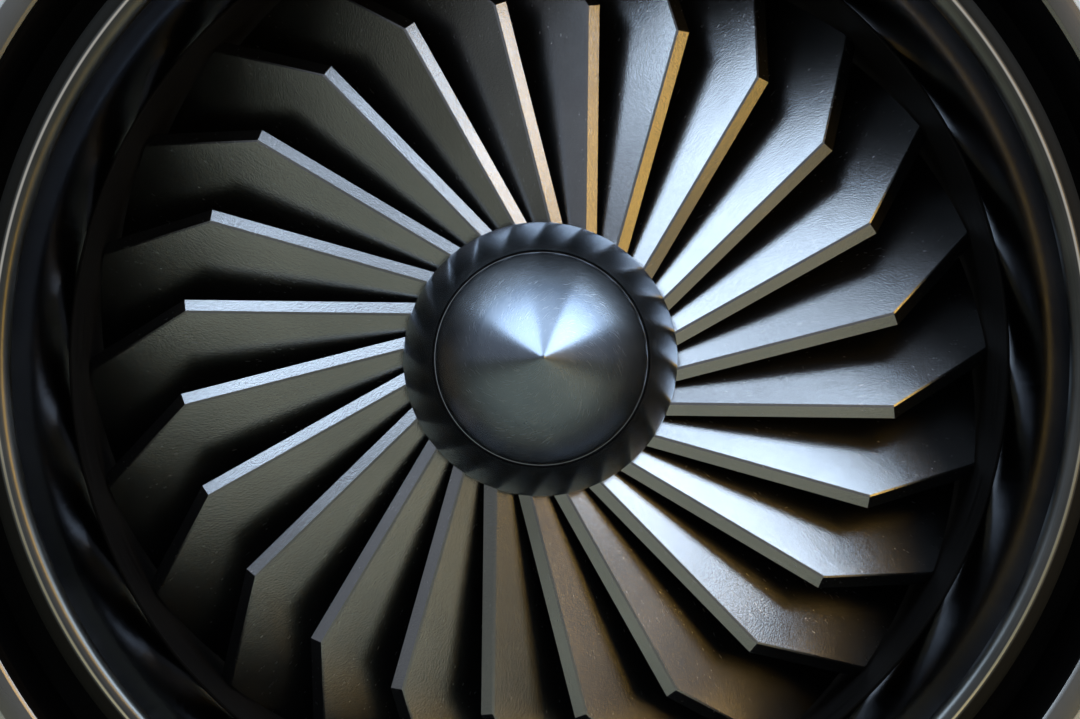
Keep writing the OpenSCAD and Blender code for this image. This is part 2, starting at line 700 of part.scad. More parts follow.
frame_end = rear_frame + rear_frame_len;
module core_nozzle() {
    color(hot_metal) engine() panels([[frame_end, fan_turbine_r + 4], [frame_end + nozzle_len, nozzle_end_r],
        [frame_end + nozzle_len, nozzle_end_r + 6], [frame_end, fan_turbine_r + 14]]);
}

module exhaust_plug() {
    color(hot_metal) engine() lathe(concat([[frame_end, plug_r - 10]],
        [for (i = [0:9]) [frame_end + plug_len * i / 10, plug_r * pow(cos(90 * i / 10), 0.8)]],
        [[frame_end + plug_len, 0], [frame_end + plug_len - 30, 0]],
        [for (i = [8:-1:1]) [frame_end + plug_len * i / 10, plug_r * pow(cos(90 * i / 10), 0.8) - 10]]));
}

// Bearings and their supports

module front_bearing_support() {
    color(steel) engine() lathe([[604, 262], [604, 240], [592, 240], [330, 96.4], [290, 96.4], [290, 106],
        [324, 106], [592, 252], [592, 262]]);
}

module front_bearing_race() {
    color(steel) engine() ring(84, 96.3, 292, 328);
}

module middle_bearing_race() {
    color(steel) engine() ring(108, 118.3, 730, 748);
}

module rear_bearing_race() {
    color(steel) engine() ring(84, 96.3, rear_frame + 32, rear_frame + 68);
}

module front_bearing_balls() {
    color(steel) engine() around(16) translate([72, 0, -310]) sphere(r = 12 - run_gap, $fn = 24);
}

module middle_bearing_balls() {
    color(steel) engine() around(20) translate([98, 0, -739]) sphere(r = 10 - run_gap, $fn = 24);
}

module rear_bearing_rollers() {
    color(steel) engine() around(16) axial_rod(12 - run_gap, rear_frame + 38, rear_frame + 62, 72);
}

module fan_shaft() {
    color(steel) engine() lathe([[70, 20], [70, fan_shaft_r], [124, fan_shaft_r], [124, 112], [136, 112],
        [136, 66], [150, fan_shaft_r], [290, fan_shaft_r], [290, 60], [330, 60], [330, fan_shaft_r],
        [rear_frame + 28, fan_shaft_r], [rear_frame + 28, 60], [rear_frame + 72, 60], [rear_frame + 72, 20]]);
}

module fan_turbine_rotor() {
    color(hot_metal) engine() {
        lathe([[1574, 216], [1574, 228], [1818, 228], [1818, 216], [1710, 216], [1704, 90], [1720, 84],
            [1720, fan_shaft_r + fit_gap], [1676, fan_shaft_r + fit_gap], [1676, 84], [1692, 90], [1698, 216]]);
        for (i = [0:fan_turbine_stages - 1]) vanes(stage_blades, 224, fan_turbine_wall(1572 + 70 * i) - 4, 1590 + 70 * i, 36, 5, 4, -35, 2);
    }
}

module core_shaft() {
    color(steel) engine() lathe([[722, core_bore_r], [722, core_bore_r + core_shaft_t], [728, core_bore_r + core_shaft_t],
        [728, 88], [750, 88], [750, core_bore_r + core_shaft_t], [1516, core_bore_r + core_shaft_t], [1516, core_bore_r]]);
}

module core_turbine_rotor() {
    color(hot_metal) engine() {
        lathe([[1464, 190], [1464, 212], [1508, 212], [1508, 190], [1494, 180], [1494, 100], [1510, 92],
            [1510, core_bore_r + core_shaft_t + fit_gap], [1466, core_bore_r + core_shaft_t + fit_gap], [1466, 92],
            [1480, 100], [1480, 180]]);
        vanes(stage_blades, 208, core_turbine_r, 1486, 34, 7, 6, -40, 2);
    }
}

// Cowl doors, their hinges and the beam between them

hinge_y = sqrt(pow(cowl_r, 2) - pow(hinge_x, 2));
edge_angle = asin((hinge_x + 2) / cowl_r);
beam_angle = asin((hinge_x - 2) / cowl_r);
hinge_pitch = (door_rear - door_front - 140) / (hinge_count - 1);
function hinge_station(i) = door_front + 70 + hinge_pitch * i;

module on_hinge(side) {
    translate([side * hinge_x, hinge_y, 0]) children();
}

module door_knuckle(side, from, to, r) {
    for (i = [0:hinge_count - 1]) on_hinge(side) axial_rod(r, hinge_station(i) + from, hinge_station(i) + to);
}

module cowl_door(side) {
    from = side > 0 ? -89.8 : 90 + edge_angle;
    to = side > 0 ? 90 - edge_angle : 269.8;
    difference() {
        union() {
            lathe_arc([[door_front, skin_in], [door_rear, skin_in], [door_rear, cowl_r], [door_front, cowl_r]], from, to);
            for (i = [0:4]) let (s = door_front + 4 + (door_rear - door_front - 20) * i / 4)
                lathe_arc([[s, frame_in], [s + 12, frame_in], [s + 12, skin_in + 1], [s, skin_in + 1]], from, to);
            lathe_arc([[door_front + 10, frame_in + 4], [door_rear - 10, frame_in + 4], [door_rear - 10, skin_in + 1],
                [door_front + 10, skin_in + 1]], side > 0 ? from + 0.05 : to - 0.8, side > 0 ? from + 0.8 : to - 0.05);
            lathe_arc([[door_front + 10, frame_in + 4], [door_rear - 10, frame_in + 4], [door_rear - 10, skin_in + 1],
                [door_front + 10, skin_in + 1]], side > 0 ? to - 3.2 : from + 2.2, side > 0 ? to - 2.2 : from + 3.2);
            door_knuckle(side, -20, 20, knuckle_r);
        }
        door_knuckle(side, -53, -20, knuckle_r + 2);
        door_knuckle(side, 20, 48, knuckle_r + 2);
        door_knuckle(side, -60, 60, hinge_pin_r + fit_gap);
    }
}

module left_cowl_door() {
    color(cowl_grey) engine() cowl_door(-1);
}

module right_cowl_door() {
    color(cowl_grey) engine() cowl_door(1);
}

module hinge_pins() {
    color(steel) engine() for (side = [-1, 1]) {
        door_knuckle(side, -46, 46, hinge_pin_r);
        door_knuckle(side, -50, -46, hinge_pin_r + 4);
    }
}

stalk_w = 120;
stalk_l = 90;
module hinge_beam() {
    color(cowl_grey) engine() difference() {
        union() {
            lathe_arc([[door_front, skin_in], [door_rear, skin_in], [door_rear, cowl_r], [door_front, cowl_r]],
                90 - beam_angle, 90 + beam_angle);
            lathe_arc([[32.4, cowl_r - 60], [rear_front, cowl_r - 60], [rear_front, skin_in - 0.8], [32.4, skin_in - 0.8]], 86, 94);
            lathe_arc([[door_front, skin_in - 10], [door_rear, skin_in - 10], [door_rear, skin_in + 1], [door_front, skin_in + 1]], 86, 94);
            for (side = [-1, 1]) {
                door_knuckle(side, -46, -21, knuckle_r);
                door_knuckle(side, 21, 46, knuckle_r);
            }
        }
        for (side = [-1, 1]) {
            door_knuckle(side, -21, 21, knuckle_r + 2);
            door_knuckle(side, -54, -46, hinge_pin_r + 5);
            door_knuckle(side, -60, 60, hinge_pin_r + 0.05);
        }
        translate([-stalk_w / 2 - 8, cowl_r - 100, -mount_station - stalk_l / 2 - 8])
            cube([stalk_w + 16, 160, stalk_l + 16]);
    }
}

// Mounts

pad_bottom = mount_height - pad_t;
saddle_in = case_outer - 34;
module front_mount() {
    color(steel) engine() difference() {
        union() {
            translate([-pad_w / 2, pad_bottom, -mount_station - pad_l / 2]) cube([pad_w, pad_t, pad_l]);
            translate([-stalk_w / 2, saddle_in, -mount_station - stalk_l / 2])
                cube([stalk_w, pad_bottom - saddle_in + 1, stalk_l]);
            translate([-170, saddle_in, -mount_station - 60]) cube([340, 60, 120]);
        }
        ring(0, case_outer + fit_gap, 400, 700);
        for (x = [-1, 1], y = [-1, 1])
            translate([x * pad_bolt_x / 2, pad_bottom - 5, y * pad_bolt_y / 2 - mount_station]) rotate([-90, 0, 0])
                cylinder(r = pad_hole_r, h = pad_t + 10, $fn = 32);
    }
}

link_station = rear_frame + rear_frame_len / 2;
link_y = rear_out_r + 85;
module rear_mount() {
    color(steel) engine() difference() {
        union() {
            translate([-link_gap / 2 - link_ear_t, rear_out_r - 25, -link_station - 36])
                cube([link_gap + 2 * link_ear_t, 56, 72]);
            for (side = [-1, 1]) translate([side > 0 ? link_gap / 2 : -link_gap / 2 - link_ear_t, 0, -link_station]) {
                translate([0, rear_out_r - 25, -36]) cube([link_ear_t, link_y - rear_out_r + 25, 72]);
                translate([0, link_y, 0]) rotate([0, 90, 0]) cylinder(r = 36, h = link_ear_t, $fn = 48);
            }
        }
        ring(0, rear_out_r + fit_gap, rear_frame - 50, rear_frame + 150);
        translate([-100, link_y, -link_station]) rotate([0, 90, 0]) cylinder(r = link_bore_r, h = 200, $fn = 48);
    }
}

// Accessories on the fan case

gear_front = 125;
gear_rear = gear_front + gearbox_l;
gear_in = flange_r + 5;
gear_out = gear_in + gearbox_h;
gear_r = (gear_in + gear_out) / 2;
tank_in = flange_r + 20;
tank_out = tank_in + 102;
unit_in = flange_r + 12;

// Feet that stand a unit off the fan case
module case_feet(angles, s0, s1, top) {
    for (a = angles) rotate([0, 0, a]) intersection() {
        translate([case_outer - 10, -14, -s1]) cube([top - case_outer + 20, 28, s1 - s0]);
        ring(case_outer + fit_gap, top, s0, s1);
    }
}

module accessory_gearbox() {
    color(titanium) engine() {
        lathe_arc([[gear_front, gear_in], [gear_rear, gear_in], [gear_rear, gear_out - 12], [gear_rear - 12, gear_out],
            [gear_front + 12, gear_out], [gear_front, gear_out - 12]], -90 - gearbox_half, -90 + gearbox_half);
        case_feet([-120, -90, -60], 150, 220, gear_in + 2);
    }
}

module generator() {
    color(titanium) engine() rotate([0, 0, -112]) {
        axial_rod(generator_r, gear_rear, gear_rear + generator_l, gear_r + 6);
        axial_rod(generator_r - 8, gear_rear + generator_l - 1, gear_rear + generator_l + 20, gear_r + 6);
    }
}

module starter_motor() {
    color(steel) engine() rotate([0, 0, -66]) {
        axial_rod(58, gear_rear, gear_rear + 90, gear_r);
        axial_rod(44, gear_rear + 89, gear_rear + 170, gear_r);
    }
}

module fuel_pump() {
    color(titanium) engine() rotate([0, 0, -78]) {
        axial_rod(46, gear_front - 60, gear_front, gear_r);
        axial_rod(30, gear_front - 84, gear_front - 59, gear_r);
    }
}

module oil_tank() {
    color(titanium) engine() {
        lathe_arc([[140, tank_in], [300, tank_in], [300, tank_out - 12], [288, tank_out], [152, tank_out],
            [140, tank_out - 12]], -18, 12);
        case_feet([-12, 6], 160, 280, tank_in + 2);
        rotate([0, 0, 8]) radial_rod(22, tank_out - 4, tank_out + 20, 220);
    }
}

module control_unit() {
    color(dark_metal) engine() rotate([0, 0, 172]) {
        translate([unit_in, -130, -320]) cube([90, 260, 180]);
        translate([unit_in - 12, -110, -300]) cube([14, 220, 140]);
        case_feet([-6, 6], 175, 285, unit_in - 6);
    }
}

// Station at which the drive tube leaves the fan frame
drive_station = case_rear + 105;
module gearbox_drive_tube() {
    color(steel) engine() rotate([0, 0, -90]) {
        radial_rod(34, case_outer + fit_gap, gear_r - 5, drive_station);
        axial_rod(34, gear_rear, drive_station, gear_r - 5);
        translate([gear_r - 5, 0, -drive_station]) sphere(r = 34, $fn = 48);
    }
}

module oil_pipes() {
    color(steel) engine() for (s = [180, 230])
        translate([0, 0, -s]) rotate([0, 0, -90 + gearbox_half + 0.01]) rotate_extrude(angle = 72 - gearbox_half - 0.02)
            translate([gear_r - 10, 0]) circle(r = 9, $fn = 24);
}

inlet_lip_ring();
intake_duct();
outer_lip_ring();
intake_outer_skin();
forward_bulkhead();
aft_bulkhead();
fan_case();
fan_case_liner();
flange_bolts();
exit_guide_vanes();
fan_frame();
core_frame();
core_splitter();
booster_case();
compressor_case();
combustor_case();
combustor_liner();
fuel_nozzles();
fuel_manifold();
igniters();
turbine_nozzle_ring();
turbine_case();
turbine_rear_frame();
core_nozzle();
exhaust_plug();
core_cowl();
bypass_duct_wall();
rear_cowl();
front_bearing_support();
front_bearing_race();
middle_bearing_race();
rear_bearing_race();
hinge_beam();
front_mount();
rear_mount();
accessory_gearbox();
generator();
starter_motor();
fuel_pump();
oil_tank();
control_unit();
gearbox_drive_tube();
oil_pipes();
spinner_cone();
spinner_ring();
fan_blades();
fan_hub();
booster_rotor();
fan_shaft();
fan_turbine_rotor();
front_bearing_balls();
rear_bearing_rollers();
compressor_rotor();
core_shaft();
core_turbine_rotor();
middle_bearing_balls();
left_cowl_door();
right_cowl_door();
hinge_pins();
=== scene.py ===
"""The looks of the twin-spool turbofan engine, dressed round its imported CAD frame."""

import math

import bmesh
import bpy
import numpy as np
from mathutils import Matrix, Vector


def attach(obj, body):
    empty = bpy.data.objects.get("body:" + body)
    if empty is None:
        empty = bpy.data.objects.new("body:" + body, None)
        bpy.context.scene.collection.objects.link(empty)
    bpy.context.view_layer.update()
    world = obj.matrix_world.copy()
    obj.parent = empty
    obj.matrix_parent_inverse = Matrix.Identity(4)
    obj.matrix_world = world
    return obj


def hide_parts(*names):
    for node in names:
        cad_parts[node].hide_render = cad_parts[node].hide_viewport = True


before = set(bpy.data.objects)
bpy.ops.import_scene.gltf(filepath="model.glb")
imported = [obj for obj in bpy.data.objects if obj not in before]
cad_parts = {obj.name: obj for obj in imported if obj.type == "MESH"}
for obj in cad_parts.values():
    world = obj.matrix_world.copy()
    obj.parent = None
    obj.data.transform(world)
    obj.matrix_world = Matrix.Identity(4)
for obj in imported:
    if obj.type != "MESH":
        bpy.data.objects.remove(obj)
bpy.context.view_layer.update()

# The engine hangs from its front mount, so its axis runs level below the
# origin. Places are given in millimetres as a station aft of the fan's leading
# edge and a radius or a height from that axis.
MOUNT_STATION = 555
MOUNT_HEIGHT = 1190

# Fixed pieces meet with this much between them, and a shell's edges are kept
# sharp from this angle on.
FIT = 0.1
SHARP_DEGREES = 28


def spot(across, height, station):
    """A point of the engine's own measures in the frame's metres."""
    return Vector((across / 1000, (station - MOUNT_STATION) / 1000, (height - MOUNT_HEIGHT) / 1000))


# Spinner. A pointed nose cone and the ring behind it, both turned from steel,
# with a thin groove between them. The machining left fine rings, and
# handling has crossed them with hair scratches. The steel's colour is painted
# lighter towards the rim so the blades' reflections show brighter there (painted
# light), and the groove is painted near black: painted shade that also stands
# for oil in it.
SPINNER_R = 232
SPINNER_FULL_R = 240
SPINNER_REAR = -12
GROOVE_R = 177
GROOVE_W = 3
CONE_H = 149
DOME_H = 111
SEAT_DEPTH = 14
SEAT_W = 24
EDGE_ROUND = 1.2
EDGE_CHAMFER = 0.3
SPINNER_WALL = 12
HUB_FRONT = -5
HUB_RIM_R = 150


def turned(name, outline, steps=300):
    """A closed outline of [station, radius] points turned round the engine's axis."""
    points = np.array(outline, float)
    angles = np.arange(steps) * 2 * math.pi / steps
    station, radius = points[:, 0], points[:, 1]
    across = np.outer(np.cos(angles), radius)
    height = np.outer(np.sin(angles), radius)
    verts = np.stack([across / 1000, np.broadcast_to((station - MOUNT_STATION) / 1000, across.shape),
                      (height - MOUNT_HEIGHT) / 1000], axis=2).reshape(-1, 3)
    count = len(points)
    faces = []
    for i in range(steps):
        j = (i + 1) % steps
        for here in range(count):
            after = (here + 1) % count
            if radius[here] < 1e-6 and radius[after] < 1e-6:
                continue
            faces.append((i * count + here, j * count + here, j * count + after, i * count + after))
    return closed_mesh(name, verts, faces)


def closed_mesh(name, verts, faces):
    """A shell with its doubles merged, its faces turned outwards and its hard edges kept sharp."""
    mesh = bpy.data.meshes.new(name)
    mesh.from_pydata([tuple(v) for v in verts], [], faces)
    shell = bmesh.new()
    shell.from_mesh(mesh)
    bmesh.ops.remove_doubles(shell, verts=shell.verts, dist=1e-6)
    bmesh.ops.dissolve_degenerate(shell, edges=shell.edges, dist=1e-7)
    bmesh.ops.recalc_face_normals(shell, faces=shell.faces)
    shell.to_mesh(mesh)
    shell.free()
    mesh.polygons.foreach_set("use_smooth", [True] * len(mesh.polygons))
    mesh.set_sharp_from_angle(angle=math.radians(SHARP_DEGREES))
    piece = bpy.data.objects.new(name, mesh)
    bpy.context.scene.collection.objects.link(piece)
    return piece


class Value:
    """A shader socket that takes part in Python sums: each sum adds its Math node."""

    def __init__(self, nodes, socket):
        self.nodes = nodes
        self.socket = socket

    def sum(self, operation, *items):
        return self.nodes.node("ShaderNodeMath", {"operation": operation}, dict(enumerate(items)))

    def __add__(self, other):
        return self.sum("ADD", self, other)

    __radd__ = __add__

    def __mul__(self, other):
        return self.sum("MULTIPLY", self, other)

    __rmul__ = __mul__

    def __sub__(self, other):
        return self.sum("SUBTRACT", self, other)

    def __rsub__(self, other):
        return self.sum("SUBTRACT", other, self)

    def __pow__(self, other):
        return self.sum("POWER", self, other)

    def clamp(self, low=0.0, high=1.0):
        return self.sum("MINIMUM", self.sum("MAXIMUM", self, low), high)


class Nodes:
    """A node tree that grows by one call for each node."""

    def __init__(self, tree):
        self.tree = tree

    def node(self, kind, settings=None, sockets=None, out=0):
        made = self.tree.nodes.new(kind)
        for key, value in (settings or {}).items():
            if key == "stops":
                ramp = made.color_ramp
                while len(ramp.elements) < len(value):
                    ramp.elements.new(0.5)
                for element, (place, shade) in zip(ramp.elements, value):
                    element.position = place
                    element.color = (*shade, 1) if isinstance(shade, tuple) else (shade, shade, shade, 1)
            else:
                setattr(made, key, value)
        for key, value in (sockets or {}).items():
            self.feed(made.inputs[key], value)
        return Value(self, made.outputs[out])

    def feed(self, socket, value):
        if isinstance(value, Value):
            self.tree.links.new(value.socket, socket)
        elif isinstance(value, tuple) and len(value) == 3 and len(socket.default_value) == 4:
            socket.default_value = (*value, 1)
        else:
            socket.default_value = value


class Finish(Nodes):
    """One material: its nodes, and the shader that they feed."""

    def __init__(self, name):
        self.material = bpy.data.materials.new(name)
        self.material.use_nodes = True
        super().__init__(self.material.node_tree)
        self.shader = self.tree.nodes["Principled BSDF"]

    def surface(self, **sockets):
        for key, value in sockets.items():
            self.feed(self.shader.inputs[key.replace("_", " ")], value)
        return self.material

    def polar(self):
        """Radius, angle and station of the shaded point round the engine's axis."""
        where = self.place()
        across, along, level = (self.node("ShaderNodeSeparateXYZ", None, {0: where}, out=part)
                                for part in "XYZ")
        height = level + MOUNT_HEIGHT / 1000
        radius = (across * across + height * height) ** 0.5
        angle = self.node("ShaderNodeMath", {"operation": "ARCTAN2"}, {0: height, 1: across})
        return radius, angle, along

    def place(self):
        return self.node("ShaderNodeTexCoord", out="Object")

    def vector(self, x, y, z):
        return self.node("ShaderNodeCombineXYZ", None, {0: x, 1: y, 2: z})

    def noise(self, vector, scale, detail=4.0, rough=0.55):
        return self.node("ShaderNodeTexNoise", {"noise_dimensions": "3D"},
                         {"Vector": vector, "Scale": scale, "Detail": detail, "Roughness": rough})

    def ramp(self, value, stops):
        return self.node("ShaderNodeValToRGB", {"stops": stops}, {0: value})

    def blend(self, factor, first, second):
        return self.node("ShaderNodeMix", {"data_type": "RGBA"}, {0: factor, 6: first, 7: second}, out=2)

    def bump(self, height, strength, distance):
        return self.node("ShaderNodeBump", None,
                         {"Height": height, "Strength": strength, "Distance": distance})


def turned_steel(name, colour, dull):
    """Steel with turning rings, smudges and hair scratches."""
    steel = Finish(name)
    radius, angle, along = steel.polar()
    rings = steel.noise(steel.vector(radius * 900, along * 900, 0.0), 1.0, 3.0)
    smudge = steel.noise(steel.place(), 9.0, 5.0)
    hair = steel.noise(steel.vector(radius * 260 + angle * 35, angle * 9, along * 260), 1.0, 2.0, 0.7)
    fine = steel.noise(steel.place(), 420.0, 2.0)
    scratches = steel.ramp(hair, [(0.60, 0.0), (0.66, 1.0)])
    dark, pale, bare = (tuple(min(1, c * share) for c in colour) for share in (0.82, 1.18, 2.2))
    base = steel.blend(scratches * 0.175, steel.ramp(smudge, [(0.3, dark), (0.7, pale)]), bare)
    height = rings * 0.5 + fine * 0.3 + scratches * 0.2
    return steel.surface(
        Base_Color=base, Metallic=1.0,
        Roughness=(dull + (smudge - 0.5) * 0.16 + scratches * 0.08).clamp(0.05, 0.9),
        Normal=steel.bump(height, 0.10, 0.0006))


def spinner_curve(radius):
    return CONE_H * (1 - radius / SPINNER_FULL_R) + DOME_H * math.sqrt(1 - (radius / SPINNER_FULL_R) ** 2)


def spinner_station(radius):
    return SPINNER_REAR - spinner_curve(radius) + spinner_curve(SPINNER_R)


spinner_seat = spinner_station(GROOVE_R) + SEAT_DEPTH
spinner_finish = Finish("spinner_steel")
radius, angle, along = spinner_finish.polar()
rings = spinner_finish.noise(spinner_finish.vector(radius * 900, along * 900, 0.0), 1.0, 3.0)
smudge = spinner_finish.noise(spinner_finish.place(), 9.0, 5.0)
wander = spinner_finish.noise(spinner_finish.place(), 30.0, 2.0)
across_hair = radius * 420 + angle * 26 + wander * 6
hair = spinner_finish.noise(spinner_finish.vector(across_hair, angle * 5, 0.0), 1.0, 1.0)
scratches = spinner_finish.ramp(hair, [(0.60, 0.0), (0.72, 0.7)])
# Painted light: from about 115 mm radius out to the rim the steel is painted lighter and smoother, so the
# blades' reflections show brighter; the nose stays darker
rim_painted_lighter = spinner_finish.ramp(radius * 4, [(0.46, 0.0), (0.72, 1.0)])
# Painted shade: a near-black band over the groove and the ring's edge beside it, which also stands for oil in
# the groove
groove_shade_and_oil = spinner_finish.ramp((radius - (GROOVE_R + 0.2) / 1000) * 100 + 0.5,
                             [(0.44, 0.0), (0.49, 1.0), (0.74, 1.0), (0.82, 0.0)])
tip_tone = spinner_finish.ramp(smudge, [(0.3, (0.098, 0.122, 0.163)), (0.7, (0.124, 0.152, 0.200))])
rim_tone = spinner_finish.ramp(smudge, [(0.3, (0.30, 0.34, 0.40)), (0.7, (0.37, 0.415, 0.48))])
clean_steel = spinner_finish.blend(rim_painted_lighter, tip_tone, rim_tone)
bare_steel = spinner_finish.blend(scratches * 0.25, clean_steel, (0.34, 0.37, 0.42))
spinner_steel = spinner_finish.surface(
    Base_Color=spinner_finish.blend(groove_shade_and_oil, bare_steel, (0.008, 0.008, 0.009)), Metallic=1.0,
    Roughness=(0.27 + (smudge - 0.5) * 0.10 - rim_painted_lighter * 0.09 + scratches * 0.05).clamp(0.05, 0.9),
    Normal=spinner_finish.bump(rings * 0.6 + scratches * 0.25, 0.09, 0.0006))

cone_edge = GROOVE_R - GROOVE_W / 2
cone_outline = [[spinner_station(r), r] for r in np.linspace(0, cone_edge - EDGE_ROUND, 40)]
cone_outline += [[spinner_station(cone_edge) + EDGE_CHAMFER, cone_edge - EDGE_CHAMFER],
                 [spinner_station(cone_edge) + EDGE_ROUND, cone_edge],
                 [spinner_seat, cone_edge], [spinner_seat, GROOVE_R - SEAT_W]]
cone_outline += [[spinner_station(r) + SPINNER_WALL, r] for r in np.linspace(GROOVE_R - SEAT_W, 0, 12)]
nose_cone = turned("nose_cone", cone_outline)
nose_cone.data.materials.append(spinner_steel)
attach(nose_cone, "fan_spool")
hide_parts("spinner_cone")

ring_edge = GROOVE_R + GROOVE_W / 2
ring_outline = [[spinner_seat, GROOVE_R - SEAT_W], [spinner_seat, ring_edge],
                [spinner_station(ring_edge) + EDGE_ROUND, ring_edge],
                [spinner_station(ring_edge) + EDGE_CHAMFER, ring_edge + EDGE_CHAMFER]]
ring_outline += [[spinner_station(r), r] for r in np.linspace(ring_edge + EDGE_ROUND, SPINNER_R - 1.5, 22)]
ring_outline += [[spinner_station(SPINNER_R) - 0.6, SPINNER_R - 0.3], [SPINNER_REAR + 1, SPINNER_R],
                 [HUB_FRONT, SPINNER_R], [HUB_FRONT, HUB_RIM_R], [HUB_FRONT - SPINNER_WALL, HUB_RIM_R],
                 [HUB_FRONT - SPINNER_WALL, SPINNER_R - 22], [spinner_seat + SPINNER_WALL, GROOVE_R - 8],
                 [spinner_seat + SPINNER_WALL, GROOVE_R - SEAT_W]]
spinner_band = turned("spinner_band", ring_outline)
spinner_band.data.materials.append(spinner_steel)
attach(spinner_band, "fan_spool")
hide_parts("spinner_ring")

# Fan blades. Flat titanium slabs with a kinked, blunt leading edge, keyed into
# slots of the hub. Their faces are peened to a fine pebble and nicked by the
# dust that the fan draws in, and the hub is dark steel.
blade_metal = Finish("blade_metal")
radius, angle, along = blade_metal.polar()
grain = blade_metal.noise(blade_metal.vector(radius * 14, angle * 520, along * 700), 1.0, 3.0, 0.6)
cloud = blade_metal.noise(blade_metal.place(), 6.0, 5.0)
speck = blade_metal.noise(blade_metal.place(), 290.0, 4.0, 0.6)
dents = blade_metal.noise(blade_metal.vector(radius * 60, angle * 90, along * 240), 1.0, 2.0, 0.7)
nicks = blade_metal.ramp(dents, [(0.64, 0.0), (0.70, 1.0)])
blade_tone = blade_metal.ramp(cloud, [(0.3, (0.135, 0.145, 0.164)), (0.7, (0.165, 0.176, 0.197))])
blade_metal.surface(
    Base_Color=blade_metal.blend(nicks * 0.10, blade_tone, (0.36, 0.38, 0.41)), Metallic=1.0,
    Roughness=(0.24 + (cloud - 0.5) * 0.06 + (grain - 0.5) * 0.10 + nicks * 0.03).clamp(0.08, 0.8),
    Normal=blade_metal.bump(grain * 0.2 + speck * 0.8, 0.36, 0.0010))


def coat_nodes(material, *nodes):
    """Gives CAD pieces that keep their shape a better material."""
    for node in nodes:
        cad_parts[node].data.materials.clear()
        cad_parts[node].data.materials.append(material)


coat_nodes(blade_metal.material, "fan_blades")
coat_nodes(turned_steel("hub_steel", (0.06, 0.064, 0.072), 0.4), "fan_hub")

# Fan case liner. A thick black ring round the blade tips, moulded in sections and
# bonded into the case. The tips may rub it.
LINER_R = 779
CASE_BORE = 800
LINER_FRONT = -60
LINER_REAR = 400

# The same black also colours the slot round the intake, where it is painted shade
liner_black = Finish("liner_black")
radius, angle, along = liner_black.polar()
smear = liner_black.noise(liner_black.vector(radius * 40, angle * 5, along * 160), 1.0, 4.0)
pores = liner_black.noise(liner_black.place(), 260.0, 3.0)
liner_black.surface(
    Base_Color=liner_black.ramp(smear, [(0.35, (0.0018, 0.0018, 0.002)), (0.7, (0.0045, 0.0045, 0.005))]),
    Roughness=(0.66 + (smear - 0.5) * 0.3).clamp(0.3, 0.95),
    Specular_IOR_Level=0.03, Normal=liner_black.bump(pores, 0.12, 0.0008))
tip_liner = turned("tip_liner", [[LINER_FRONT, LINER_R], [LINER_FRONT, CASE_BORE - FIT],
                                 [LINER_REAR, CASE_BORE - FIT], [LINER_REAR, LINER_R]])
tip_liner.data.materials.append(liner_black.material)
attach(tip_liner, "nacelle")
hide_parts("fan_case_liner")

# Intake duct. Dark lacquered sheet that flares from the liner to the lip. It is
# smooth enough to smear the reflection of the blades.
INTAKE_LEN = 230
CREST_R = 865
LIP_OUTER_R = 895
LIP_DEPTH = 24
LIP_INNER_W = 22
LIP_BACK = -INTAKE_LEN + LIP_DEPTH
DUCT_WALL = 12
FLANGE_R = 850
FLANGE_T = 12
DUCT_THROAT = LINER_R + 3
DUCT_MOUTH = CREST_R - LIP_INNER_W


def duct_r(station):
    share = max(0, (LINER_FRONT - station) / (LINER_FRONT - LIP_BACK))
    return DUCT_THROAT + (DUCT_MOUTH - DUCT_THROAT) * share ** 1.7


duct_dark = Finish("duct_dark")
radius, angle, along = duct_dark.polar()
smear = duct_dark.noise(duct_dark.vector(radius * 6, angle * 60, along * 9), 1.0, 4.0)
drift = duct_dark.noise(duct_dark.place(), 5.0, 4.0)
duct_dark.surface(
    Base_Color=duct_dark.ramp(drift, [(0.3, (0.022, 0.023, 0.027)), (0.7, (0.042, 0.044, 0.050))]),
    Metallic=1.0,
    Roughness=(0.15 + (drift - 0.5) * 0.14 + (smear - 0.5) * 0.08).clamp(0.08, 0.7),
    Normal=duct_dark.bump(smear, 0.08, 0.002))
duct_outline = [[s, duct_r(s)] for s in np.linspace(LIP_BACK, LINER_FRONT, 40)]
duct_outline += [[LINER_FRONT, FLANGE_R], [LINER_FRONT - FLANGE_T, FLANGE_R],
                 [LINER_FRONT - FLANGE_T, duct_r(LINER_FRONT - FLANGE_T) + DUCT_WALL]]
duct_outline += [[s, duct_r(s) + DUCT_WALL]
                 for s in np.linspace(LINER_FRONT - FLANGE_T - 4, LIP_BACK + 8, 16)]
duct_outline += [[LIP_BACK, duct_r(LIP_BACK) + 7.9]]
flared_duct = turned("flared_duct", duct_outline)
flared_duct.data.materials.append(duct_dark.material)
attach(flared_duct, "nacelle")
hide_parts("intake_duct")

# Lip ring. Spun metal, polished inside, rolled over to a crest and down again
# into the slot. The crest is painted as a fine bright line, a painted highlight,
# and the side past it into the slot is painted black, painted shade. It closes the duct's front.
SLOT_FLOOR = -20
SLOT_BACK = SLOT_FLOOR - 0.4
LIP_END = SLOT_FLOOR - 134
LIP_WALL = 7
LIP_OUTER_W = LIP_OUTER_R - CREST_R
lip_finish = Finish("lip_polish_and_painted_light")
radius, angle, along = lip_finish.polar()
spun = lip_finish.noise(lip_finish.vector(radius * 700, angle * 3, along * 700), 1.0, 3.0)
haze = lip_finish.noise(lip_finish.place(), 7.0, 5.0)
past_crest = (radius - CREST_R / 1000) * 60
# Painted highlight: a fine band at the crest gets a bright warm colour and a smoother finish
crest_highlight = lip_finish.ramp(past_crest + 0.5, [(0.34, 0.0), (0.44, 1.0), (0.56, 1.0), (0.66, 0.0)])
